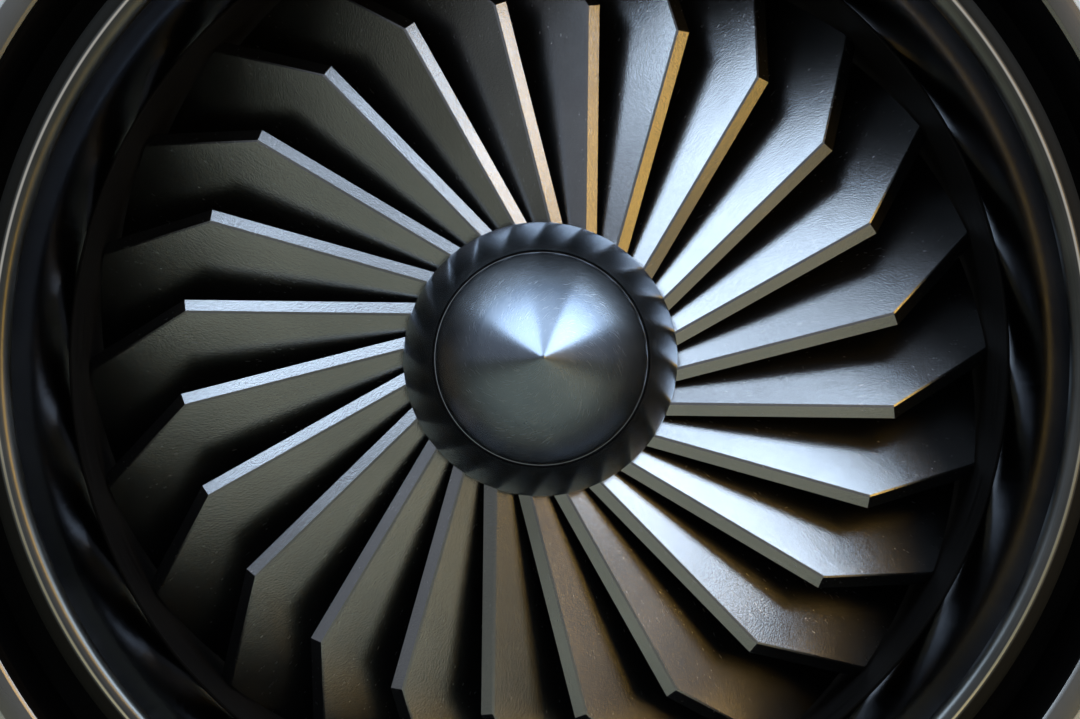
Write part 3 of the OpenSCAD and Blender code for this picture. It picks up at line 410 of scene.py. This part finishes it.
# Painted shade: past the crest the lip is painted a near-black, dull, non-metallic colour down into the slot
slot_side_shade = lip_finish.ramp(past_crest, [(0.12, 0.0), (0.34, 1.0)])
polish = lip_finish.ramp(haze * 0.6 + spun * 0.4,
                         [(0.35, (0.046, 0.050, 0.053)), (0.65, (0.078, 0.083, 0.087))])
lip_tone = lip_finish.blend(slot_side_shade, polish, (0.003, 0.003, 0.0028))
lip_polish_and_painted_light = lip_finish.surface(
    Base_Color=lip_finish.blend(crest_highlight, lip_tone, (0.52, 0.50, 0.45)),
    Metallic=(1.0 - slot_side_shade).clamp(0.0, 1.0),
    Roughness=(0.30 + (haze - 0.5) * 0.1 - crest_highlight * 0.18 + slot_side_shade * 0.4).clamp(0.06, 0.8),
    Specular_IOR_Level=0.06, Normal=lip_finish.bump(spun, 0.06, 0.0005))


def lip_arc(depth, width, start, stop, count):
    """A quarter of the lip's section, with its width towards the axis where that is negative."""
    return [[LIP_BACK - depth * math.sin(a), CREST_R + width * math.cos(a)]
            for a in np.radians(np.linspace(start, stop, count))]


lip_outline = lip_arc(LIP_DEPTH, -LIP_INNER_W, 0, 81, 24)
lip_outline += [[-INTAKE_LEN, CREST_R - 2], [-INTAKE_LEN, CREST_R - 1], [-INTAKE_LEN, CREST_R]]
lip_outline += lip_arc(LIP_DEPTH, LIP_OUTER_W, 81, 0, 24)
lip_outline += [[LIP_END, LIP_OUTER_R], [LIP_END, LIP_OUTER_R - LIP_WALL]]
lip_outline += lip_arc(LIP_DEPTH - LIP_WALL, LIP_OUTER_W - LIP_WALL, 0, 90, 10)
lip_outline += lip_arc(LIP_DEPTH - LIP_WALL, -14, 81, 0, 9)
lip_band = turned("lip_band", lip_outline, 360)
lip_band.data.materials.append(lip_polish_and_painted_light)
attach(lip_band, "nacelle")
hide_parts("inlet_lip_ring")

# Slot round the intake. A channel between the lip ring and the cowl's front
# ring: two rolled sheet walls run back to the forward bulkhead, which is its floor.
# Walls and floor are painted black, painted shade in the deep slot.
COWL_FRONT = -INTAKE_LEN + 20
COWL_MOUTH_R = 984
COWL_FACE_W = 40
COWL_R = 1100
SKIN_T = 10
SKIN_REAR = 40
RING_DEPTH = 15.9
COWL_FACE_R = COWL_MOUTH_R + COWL_FACE_W
SKIN_FRONT = COWL_FRONT + 2


def skin_r(station):
    if station >= SKIN_REAR:
        return COWL_R
    share = (station - SKIN_FRONT) / (SKIN_REAR - SKIN_FRONT)
    return COWL_FACE_R + 2 + (COWL_R - COWL_FACE_R - 2) * math.sin(math.radians(90 * share)) ** 0.8


def slot_sheet(name, front, inner_r, outer_r):
    """A rolled wall of the slot, from its front edge back to the floor."""
    return turned(name, [[front, inner_r], [front, outer_r], [SLOT_BACK, outer_r], [SLOT_BACK, inner_r]])


# Painted shade: the slot's walls and the forward bulkhead take the liner's black for the shade in the deep
# slot
slot_wall = slot_sheet("slot_inner_wall", LIP_END + FIT, LIP_OUTER_R - LIP_WALL, LIP_OUTER_R - 0.3)
slot_wall.data.materials.append(liner_black.material)
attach(slot_wall, "nacelle")
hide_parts("inlet_lip_ring")
slot_liner = slot_sheet("slot_outer_wall", COWL_FRONT + RING_DEPTH + FIT,
                        COWL_MOUTH_R + 0.3, COWL_MOUTH_R + 9)
slot_liner.data.materials.append(liner_black.material)
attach(slot_liner, "nacelle")
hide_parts("outer_lip_ring")
coat_nodes(liner_black.material, "forward_bulkhead")

# Front ring of the cowl. A turned alloy ring with a bright bevelled inner edge
# and a flat satin face.
FACE_T = 12

cowl_satin = Finish("cowl_satin")
radius, angle, along = cowl_satin.polar()
sheen = cowl_satin.noise(cowl_satin.vector(radius * 500, angle * 4, along * 500), 1.0, 3.0)
patch = cowl_satin.noise(cowl_satin.place(), 3.5, 5.0)
cowl_satin.surface(
    Base_Color=cowl_satin.ramp(patch, [(0.3, (0.105, 0.108, 0.112)), (0.7, (0.135, 0.138, 0.142))]),
    Metallic=1.0,
    Roughness=(0.30 + (patch - 0.5) * 0.12 + (sheen - 0.5) * 0.12).clamp(0.1, 0.8),
    Normal=cowl_satin.bump(sheen, 0.1, 0.0006))
cowl_ring = turned("cowl_ring", [[COWL_FRONT + 5, COWL_MOUTH_R], [COWL_FRONT + 0.6, COWL_MOUTH_R + 4.4],
                                 [COWL_FRONT, COWL_MOUTH_R + 5.6], [COWL_FRONT, COWL_FACE_R - 1],
                                 [COWL_FRONT + 1, COWL_FACE_R], [COWL_FRONT + FACE_T, COWL_FACE_R],
                                 [COWL_FRONT + FACE_T, COWL_MOUTH_R + 14],
                                 [COWL_FRONT + RING_DEPTH, COWL_MOUTH_R + 13],
                                 [COWL_FRONT + RING_DEPTH, COWL_MOUTH_R]], 360)
cowl_ring.data.materials.append(cowl_satin.material)
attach(cowl_ring, "nacelle")
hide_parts("outer_lip_ring")

# Outer cowl skin of the intake. Sheet rolled to a full nose, painted satin grey
# and riveted to the bulkheads behind it.
cowl_paint = Finish("cowl_paint")
radius, angle, along = cowl_paint.polar()
wash = cowl_paint.noise(cowl_paint.vector(radius * 3, angle * 5, along * 1.2), 1.0, 5.0)
streak = cowl_paint.noise(cowl_paint.vector(angle * 70, radius * 8, along * 1.4), 1.0, 3.0)
peel = cowl_paint.noise(cowl_paint.place(), 180.0, 2.0)
grime = cowl_paint.ramp(streak * 0.6 + wash * 0.4, [(0.50, 0.0), (0.68, 1.0)])
paint_tone = cowl_paint.ramp(wash, [(0.3, (0.20, 0.215, 0.235)), (0.7, (0.235, 0.25, 0.27))])
cowl_paint.surface(
    Base_Color=cowl_paint.blend(grime * 0.16, paint_tone, (0.10, 0.10, 0.10)),
    Roughness=(0.32 + (wash - 0.5) * 0.12 + grime * 0.14).clamp(0.15, 0.8),
    Normal=cowl_paint.bump(peel, 0.06, 0.0006), Coat_Weight=0.25, Coat_Roughness=0.15)

skin_outline = [[s, skin_r(s)] for s in
                SKIN_FRONT + (SKIN_REAR - SKIN_FRONT) * np.linspace(0, 1, 40) ** 1.6]
skin_outline += [[s, skin_r(s) - SKIN_T] for s in np.linspace(SKIN_REAR, SKIN_FRONT + 16, 24)]
skin_outline += [[SKIN_FRONT + 10, COWL_FACE_R - 4], [SKIN_FRONT + 10 + FIT, COWL_FACE_R + FIT],
                 [SKIN_FRONT, COWL_FACE_R + FIT]]
intake_skin = turned("intake_skin", skin_outline, 360)
intake_skin.data.materials.append(cowl_paint.material)
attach(intake_skin, "nacelle")
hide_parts("intake_outer_skin")

# Rear cowl and bypass duct wall. The painted skin draws in to the bypass nozzle,
# and the grey lining inside guides the stream that the fan drives.
BYPASS_END = 1500
BYPASS_END_R = 755
FRAME_REAR = 640
REAR_FRONT = 728

duct_grey = Finish("duct_grey")
radius, angle, along = duct_grey.polar()
flow = duct_grey.noise(duct_grey.vector(radius * 5, angle * 46, along * 1.6), 1.0, 4.0)
duct_grey.surface(
    Base_Color=duct_grey.ramp(flow, [(0.3, (0.15, 0.155, 0.16)), (0.7, (0.21, 0.215, 0.22))]),
    Roughness=(0.45 + (flow - 0.5) * 0.2).clamp(0.2, 0.8),
    Normal=duct_grey.bump(duct_grey.noise(duct_grey.place(), 150.0, 3.0), 0.08, 0.0008))


def rear_r(share):
    return COWL_R - (COWL_R - BYPASS_END_R - 18) * share ** 1.7


cowl_length = BYPASS_END - REAR_FRONT
rear_outline = [[REAR_FRONT, COWL_R - 1], [REAR_FRONT + 1, COWL_R]]
rear_outline += [[REAR_FRONT + cowl_length * x, rear_r(x)] for x in np.linspace(0.02, 1, 40)]
rear_outline += [[BYPASS_END, BYPASS_END_R + 8.1], [BYPASS_END - 30, BYPASS_END_R + 15]]
rear_outline += [[REAR_FRONT + cowl_length * x, rear_r(x) - SKIN_T] for x in np.linspace(0.92, 0.02, 20)]
rear_outline += [[REAR_FRONT + 10, COWL_R - SKIN_T], [REAR_FRONT + 10, 800], [REAR_FRONT, 800]]
rear_skin = turned("rear_skin", rear_outline, 360)
rear_skin.data.materials.append(cowl_paint.material)
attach(rear_skin, "nacelle")
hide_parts("rear_cowl")

wall_spine = np.array([[FRAME_REAR, LINER_R], [900, 792], [1150, 798], [1350, 785],
                       [BYPASS_END, BYPASS_END_R]])


def through(spine, count):
    """Points along a smooth line through the corners of a spine."""
    points = []
    for place in np.linspace(0, len(spine) - 1, count):
        corner = min(int(place), len(spine) - 2)
        p = [spine[max(0, min(len(spine) - 1, corner + k))] for k in (-1, 0, 1, 2)]
        u = place - corner
        points.append(list(0.5 * ((2 * p[1]) + (p[2] - p[0]) * u
                                  + (2 * p[0] - 5 * p[1] + 4 * p[2] - p[3]) * u ** 2
                                  + (3 * p[1] - p[0] - 3 * p[2] + p[3]) * u ** 3)))
    return points


wall_in = through(wall_spine, 30)
wall_outline = wall_in + [[BYPASS_END, BYPASS_END_R + 8]]
wall_outline += [[s, r + 9] for s, r in reversed(wall_in[3:-1])]
wall_outline += [[FRAME_REAR + 12, 790], [FRAME_REAR + 12, FLANGE_R], [FRAME_REAR, FLANGE_R]]
duct_lining = turned("duct_lining", wall_outline, 300)
duct_lining.data.materials.append(duct_grey.material)
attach(duct_lining, "nacelle")
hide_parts("bypass_duct_wall")

# Core cowl. A thin painted shell that closes round the core and draws in to the
# core nozzle.
SPLITTER_R = 430
CORE_COWL_R = 560
REAR_FRAME = 1840
core_spine = np.array([[FRAME_REAR + 21, SPLITTER_R], [760, 500], [900, 545], [1060, CORE_COWL_R],
                       [1250, 555], [1500, 522], [REAR_FRAME, 470]])
core_out = through(core_spine, 46)
core_outline = core_out + [[s, r - 8] for s, r in reversed(core_out[1:])] + [[FRAME_REAR + 30, SPLITTER_R]]
core_shell = turned("core_shell", core_outline, 240)
core_shell.data.materials.append(cowl_paint.material)
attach(core_shell, "nacelle")
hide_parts("core_cowl")

# Exhaust. The nozzle, the plug and the rear frame are heat-resisting alloy
# sheet, straw and blue from the heat and dulled by soot.
FRAME_END = REAR_FRAME + 100
NOZZLE_LEN = 220
NOZZLE_START_R = 424
NOZZLE_END_R = 360
PLUG_R = 240
PLUG_LEN = 520
PLUG_WALL = 10

hot_metal = Finish("hot_metal")
radius, angle, along = hot_metal.polar()
heat = hot_metal.noise(hot_metal.vector(radius * 3, angle * 1.5, along * 5), 1.0, 5.0)
soot = hot_metal.noise(hot_metal.place(), 8.0, 6.0)
tint = hot_metal.ramp((along - 1.25) * 1.4 + (heat - 0.5) * 0.55,
                      [(0.0, (0.25, 0.245, 0.24)), (0.35, (0.29, 0.255, 0.20)), (0.55, (0.23, 0.195, 0.20)),
                       (0.75, (0.19, 0.205, 0.245)), (1.0, (0.17, 0.17, 0.175))])
hot_metal.surface(
    Base_Color=hot_metal.blend((soot - 0.45).clamp() * 1.4, tint, (0.06, 0.056, 0.052)), Metallic=1.0,
    Roughness=(0.36 + (soot - 0.5) * 0.3).clamp(0.2, 0.9),
    Normal=hot_metal.bump(hot_metal.noise(hot_metal.place(), 120.0, 4.0), 0.1, 0.001))


def nozzle_side(start_r, stop_r, shares):
    return [[FRAME_END + NOZZLE_LEN * x, start_r - (start_r - stop_r) * x ** 1.2] for x in shares]


def plug_r(share):
    return PLUG_R * math.cos(math.radians(90 * share)) ** 0.8


hot_nozzle = turned("hot_nozzle", nozzle_side(NOZZLE_START_R + 10, NOZZLE_END_R + 6, np.linspace(0, 1, 16))
                    + nozzle_side(NOZZLE_START_R, NOZZLE_END_R, np.linspace(1, 0, 16)), 240)
hot_nozzle.data.materials.append(hot_metal.material)
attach(hot_nozzle, "nacelle")
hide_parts("core_nozzle")

plug_out = [[FRAME_END + PLUG_LEN * x, plug_r(x)] for x in np.linspace(0, 0.995, 40)]
plug_in = [[FRAME_END + PLUG_LEN * x, plug_r(x) - PLUG_WALL] for x in np.linspace(0.92, 0, 20)]
plug_tip = [[FRAME_END + PLUG_LEN, 0], [FRAME_END + PLUG_LEN - 30, 0]]
plug_cone = turned("plug_cone", plug_out + plug_tip + plug_in, 200)
plug_cone.data.materials.append(hot_metal.material)
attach(plug_cone, "nacelle")
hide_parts("exhaust_plug")

# Cowl doors. Two painted skins on frames, hung from the beam at the top and
# closed by flush latches at the bottom.
coat_nodes(cowl_paint.material, "left_cowl_door", "right_cowl_door", "hinge_beam")

# Rivets and latches of the cowl. Countersunk heads in rows hold the skins to the
# bulkheads and door frames, and flush steel latches close the doors at the
# bottom. One Geometry Nodes tree sets a head on each point of a row.
RIVET_R = 4.2
RIVET_PROUD = 0.5
RIVET_SUNK = 1.2
DOOR_FRONT = 44
DOOR_REAR = 724
LATCH_W = 54
LATCH_L = 96
LATCH_DEGREES = 265
BARE_DEGREES = 2.2

rivet_metal = turned_steel("rivet_metal", (0.30, 0.305, 0.315), 0.34)
rivet_tree = bpy.data.node_groups.new("rivet_rows", "GeometryNodeTree")
rivet_tree.interface.new_socket("Rows", in_out="INPUT", socket_type="NodeSocketGeometry")
for label, size in (("Head Radius", RIVET_R), ("Head Height", RIVET_PROUD + RIVET_SUNK)):
    measure = rivet_tree.interface.new_socket(label, in_out="INPUT", socket_type="NodeSocketFloat")
    measure.default_value = size / 1000
rivet_tree.interface.new_socket("Finish", in_out="INPUT", socket_type="NodeSocketMaterial")
rivet_tree.interface.new_socket("Heads", in_out="OUTPUT", socket_type="NodeSocketGeometry")
enter, leave, head, outward, turn, copies, real, coat = (rivet_tree.nodes.new(kind) for kind in (
    "NodeGroupInput", "NodeGroupOutput", "GeometryNodeMeshCone", "GeometryNodeInputNamedAttribute",
    "FunctionNodeAlignRotationToVector", "GeometryNodeInstanceOnPoints", "GeometryNodeRealizeInstances",
    "GeometryNodeSetMaterial"))
head.fill_type = "NGON"
head.inputs["Vertices"].default_value = 12
outward.data_type = "FLOAT_VECTOR"
outward.inputs["Name"].default_value = "outward"
turn.axis = "Z"
slope = rivet_tree.nodes.new("ShaderNodeMath")
slope.operation = "MULTIPLY"
slope.inputs[1].default_value = 0.86
for source, out_name, target, in_name in (
        (enter, "Head Radius", head, "Radius Bottom"), (enter, "Head Radius", slope, 0),
        (slope, 0, head, "Radius Top"), (enter, "Head Height", head, "Depth"),
        (enter, "Rows", copies, "Points"), (head, "Mesh", copies, "Instance"),
        (outward, "Attribute", turn, "Vector"), (turn, "Rotation", copies, "Rotation"),
        (copies, "Instances", real, "Geometry"), (real, "Geometry", coat, "Geometry"),
        (enter, "Finish", coat, "Material"), (coat, "Geometry", leave, "Heads")):
    rivet_tree.links.new(source.outputs[out_name], target.inputs[in_name])


def rivet_seat(degrees, radius, station):
    """The foot of a rivet's head in a round skin, and the direction outwards there."""
    a = math.radians(degrees)
    out = Vector((math.cos(a), 0, math.sin(a)))
    return spot(radius * out.x, radius * out.z, station) - out * RIVET_SUNK / 1000, out


def hoop(station, radius, start, stop, pitch):
    """Rivet seats round the axis, clear of the widest points of the cowl."""
    count = int(math.radians(stop - start) * radius / pitch)
    angles = [start + (stop - start) * i / count for i in range(count + 1)]
    return [rivet_seat(d, radius, station) for d in angles if abs((d + 45) % 90 - 45) >= BARE_DEGREES]


def run(degrees, radius, start, stop, pitch):
    """Rivet seats along the axis at one angle."""
    count = int((stop - start) / pitch)
    return [rivet_seat(degrees, radius, start + (stop - start) * i / count) for i in range(count + 1)]


def rivets(name, body, rows):
    seeds = bpy.data.meshes.new(name)
    seeds.from_pydata([tuple(point) for point, out in rows], [], [])
    seeds.attributes.new("outward", "FLOAT_VECTOR", "POINT").data.foreach_set(
        "vector", [part for point, out in rows for part in out])
    piece = bpy.data.objects.new(name, seeds)
    bpy.context.scene.collection.objects.link(piece)
    modifier = piece.modifiers.new("rivet_rows", "NODES")
    modifier.node_group = rivet_tree
    for item in rivet_tree.interface.items_tree:
        if item.name == "Finish":
            modifier[item.identifier] = rivet_metal
    heads = bpy.data.meshes.new_from_object(piece.evaluated_get(bpy.context.evaluated_depsgraph_get()))
    piece.modifiers.clear()
    piece.data = heads
    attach(piece, body)


fixed_rows = hoop(COWL_FRONT + 150, skin_r(COWL_FRONT + 150), 0, 358, 42) + hoop(28, COWL_R, 0, 358, 34)
fixed_rows += hoop(REAR_FRONT + 22, rear_r(22 / cowl_length), 0, 358, 34)
fixed_rows += hoop(BYPASS_END - 60, rear_r(1 - 60 / cowl_length), 0, 358, 34)
rivets("cowl_rivets", "nacelle", fixed_rows)
for side, body in ((1, "right_door"), (-1, "left_door")):
    low, high = (-87.6, 81) if side > 0 else (99, 267.6)
    rows = []
    for i in range(5):
        rows += hoop(DOOR_FRONT + 10 + (DOOR_REAR - DOOR_FRONT - 20) * i / 4, COWL_R, low, high, 40)
    rows += run(low if side > 0 else high, COWL_R, DOOR_FRONT + 40, DOOR_REAR - 40, 34)
    rivets(body + "_rivets", body, rows)

latches = bmesh.new()
for i in range(4):
    middle = DOOR_FRONT + 95 + (DOOR_REAR - DOOR_FRONT - 190) * i / 3
    a = math.radians(LATCH_DEGREES)
    out = Vector((math.cos(a), 0, math.sin(a)))
    side_way = Vector((-math.sin(a), 0, math.cos(a)))
    along_way = Vector((0, 1, 0))
    base = spot(COWL_R * out.x, COWL_R * out.z, middle)
    for width, length, low, high in ((LATCH_W, LATCH_L, -4, 0.6), (LATCH_W - 16, LATCH_L - 30, -4, 1.5)):
        corners = []
        for level in (low, high):
            trim = 0 if level < 0 else 0.5
            for u, v in ((-1, -1), (1, -1), (1, 1), (-1, 1)):
                sideways = side_way * (u * (width / 2 - trim) / 1000)
                lengthways = along_way * (v * (length / 2 - trim) / 1000)
                corners.append(latches.verts.new(base + sideways + lengthways + out * level / 1000))
        for ring in ((3, 2, 1, 0), (4, 5, 6, 7), (0, 1, 5, 4), (1, 2, 6, 5), (2, 3, 7, 6), (3, 0, 4, 7)):
            latches.faces.new([corners[k] for k in ring])
bmesh.ops.recalc_face_normals(latches, faces=latches.faces)
latch_mesh = bpy.data.meshes.new("door_latches")
latches.to_mesh(latch_mesh)
latches.free()
door_latches = bpy.data.objects.new("door_latches", latch_mesh)
bpy.context.scene.collection.objects.link(door_latches)
latch_mesh.materials.append(rivet_metal)
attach(door_latches, "left_door")

# Steel, cast alloy and plain grey pieces that keep their CAD shape: flanges and
# frames round the fan, the units on the fan case, the mounts and the core.
case_metal = turned_steel("case_metal", (0.14, 0.145, 0.155), 0.36)
bright_steel = turned_steel("bright_steel", (0.42, 0.425, 0.43), 0.3)
vane_metal = turned_steel("vane_metal", (0.22, 0.225, 0.235), 0.35)

cast_alloy = Finish("cast_alloy")
sand = cast_alloy.noise(cast_alloy.place(), 240.0, 3.0)
patch = cast_alloy.noise(cast_alloy.place(), 12.0, 4.0)
cast_alloy.surface(
    Base_Color=cast_alloy.ramp(patch, [(0.3, (0.36, 0.37, 0.38)), (0.7, (0.46, 0.47, 0.48))]), Metallic=1.0,
    Roughness=(0.46 + (patch - 0.5) * 0.2).clamp(0.25, 0.9), Normal=cast_alloy.bump(sand, 0.3, 0.001))

coat_nodes(case_metal, "aft_bulkhead", "fan_case", "fan_frame", "core_frame", "core_splitter", "control_unit")
coat_nodes(vane_metal, "exit_guide_vanes")
coat_nodes(bright_steel, "flange_bolts", "fuel_nozzles", "fuel_manifold", "igniters", "oil_pipes",
           "front_bearing_support", "front_bearing_race", "middle_bearing_race", "rear_bearing_race",
           "front_bearing_balls", "middle_bearing_balls", "rear_bearing_rollers", "front_mount", "rear_mount",
           "hinge_pins", "starter_motor", "gearbox_drive_tube", "fan_shaft", "core_shaft",
           "booster_case", "compressor_case")
coat_nodes(cast_alloy.material, "accessory_gearbox", "generator", "fuel_pump", "oil_tank")
coat_nodes(hot_metal.material, "combustor_case", "combustor_liner", "turbine_nozzle_ring", "turbine_case",
           "turbine_rear_frame", "fan_turbine_rotor", "core_turbine_rotor")
coat_nodes(blade_metal.material, "booster_rotor", "compressor_rotor")

# Studio. A pale floor close under the hung engine, three cool softboxes round the
# top of the intake, a long warm one ahead on the right, and a soft one behind.
FLOOR_GAP = 0.05
FLOOR_HALF = 45
WORLD_LEVEL = 0.46
SEEN_EXTRA = 0.16
BLADE_MIDDLE = 66
COOL = (0.74, 0.88, 1.0)
fan_centre = spot(0, 0, BLADE_MIDDLE)

floor_mesh = bpy.data.meshes.new("floor")
floor_z = spot(0, -COWL_R, 0).z - FLOOR_GAP
floor_corners = [(x * FLOOR_HALF, y * FLOOR_HALF, floor_z) for x, y in ((-1, -1), (1, -1), (1, 1), (-1, 1))]
floor_mesh.from_pydata(floor_corners, [], [(0, 1, 2, 3)])
floor = bpy.data.objects.new("floor", floor_mesh)
bpy.context.scene.collection.objects.link(floor)
floor_paint = Finish("floor_paint")
floor.data.materials.append(floor_paint.surface(Base_Color=(0.62, 0.595, 0.42), Roughness=0.8))


def softbox(name, place, aim, width, height, power, colour):
    """A rectangular lamp whose width runs round the engine's axis."""
    light = bpy.data.lights.new(name, "AREA")
    light.shape = "RECTANGLE"
    light.size, light.size_y = width, height
    light.energy = power
    light.color = colour
    lamp = bpy.data.objects.new(name, light)
    back = (Vector(place) - Vector(aim)).normalized()
    round_axis = Vector((0, 1, 0)).cross(back).normalized()
    turn = Matrix((round_axis, back.cross(round_axis), back)).transposed()
    lamp.matrix_world = Matrix.Translation(place) @ turn.to_4x4()
    bpy.context.scene.collection.objects.link(lamp)


def round_fan(degrees, reach, ahead):
    """A place round the fan's axis, seen from the front, ahead of its blades."""
    a = math.radians(degrees)
    return fan_centre + Vector((reach * math.cos(a), -ahead, reach * math.sin(a)))


softbox("left_box", round_fan(121, 2.9, 1.3), fan_centre, 2.6, 1.2, 92, COOL)
softbox("top_box", round_fan(84, 2.9, 1.2), fan_centre, 1.4, 1.2, 22, COOL)
softbox("right_box", round_fan(46, 2.9, 1.12), fan_centre, 2.2, 1.1, 92, COOL)
softbox("warm_box", round_fan(18, 2.8, 2.6), fan_centre, 2.9, 0.6, 67, (1.0, 0.53, 0.06))
softbox("back_box", (-2.5, 5.0, 2.5), spot(0, 0, 1200), 4.0, 3.0, 60, (1.0, 0.97, 0.93))

world = bpy.data.worlds.new("studio")
bpy.context.scene.world = world
world.use_nodes = True
sky = Nodes(world.node_tree)
by_camera, by_gloss, by_glass = (sky.node("ShaderNodeLightPath", out=f"Is {ray} Ray")
                                 for ray in ("Camera", "Glossy", "Transmission"))
seen = by_camera.sum("MAXIMUM", by_camera.sum("MAXIMUM", by_camera, by_gloss), by_glass)
backdrop = world.node_tree.nodes["Background"]
sky.feed(backdrop.inputs["Color"], (0.97, 0.98, 1.0))
sky.feed(backdrop.inputs["Strength"], seen * SEEN_EXTRA + WORLD_LEVEL)

# Camera. It stands well ahead of the intake, a little below and to the left of the
# axis, and looks at the middle of the blades with the photograph's angle of view.
SENSOR_W = 36
PICTURE_W = 1080
FOCAL_PIXELS = 1964.5
EYE_ACROSS = -50
EYE_HEIGHT = -34
EYE_AHEAD = 3400

camera = bpy.data.cameras.new("camera")
camera.sensor_width = SENSOR_W
camera.lens = SENSOR_W * FOCAL_PIXELS / PICTURE_W
camera.clip_end = 60
eye = bpy.data.objects.new("camera", camera)
eye.location = spot(EYE_ACROSS, EYE_HEIGHT, BLADE_MIDDLE - EYE_AHEAD)
eye.rotation_euler = (Vector(fan_centre) - eye.location).to_track_quat("-Z", "Y").to_euler()
bpy.context.scene.collection.objects.link(eye)
bpy.context.scene.camera = eye
bpy.context.scene.view_settings.view_transform = "Standard"
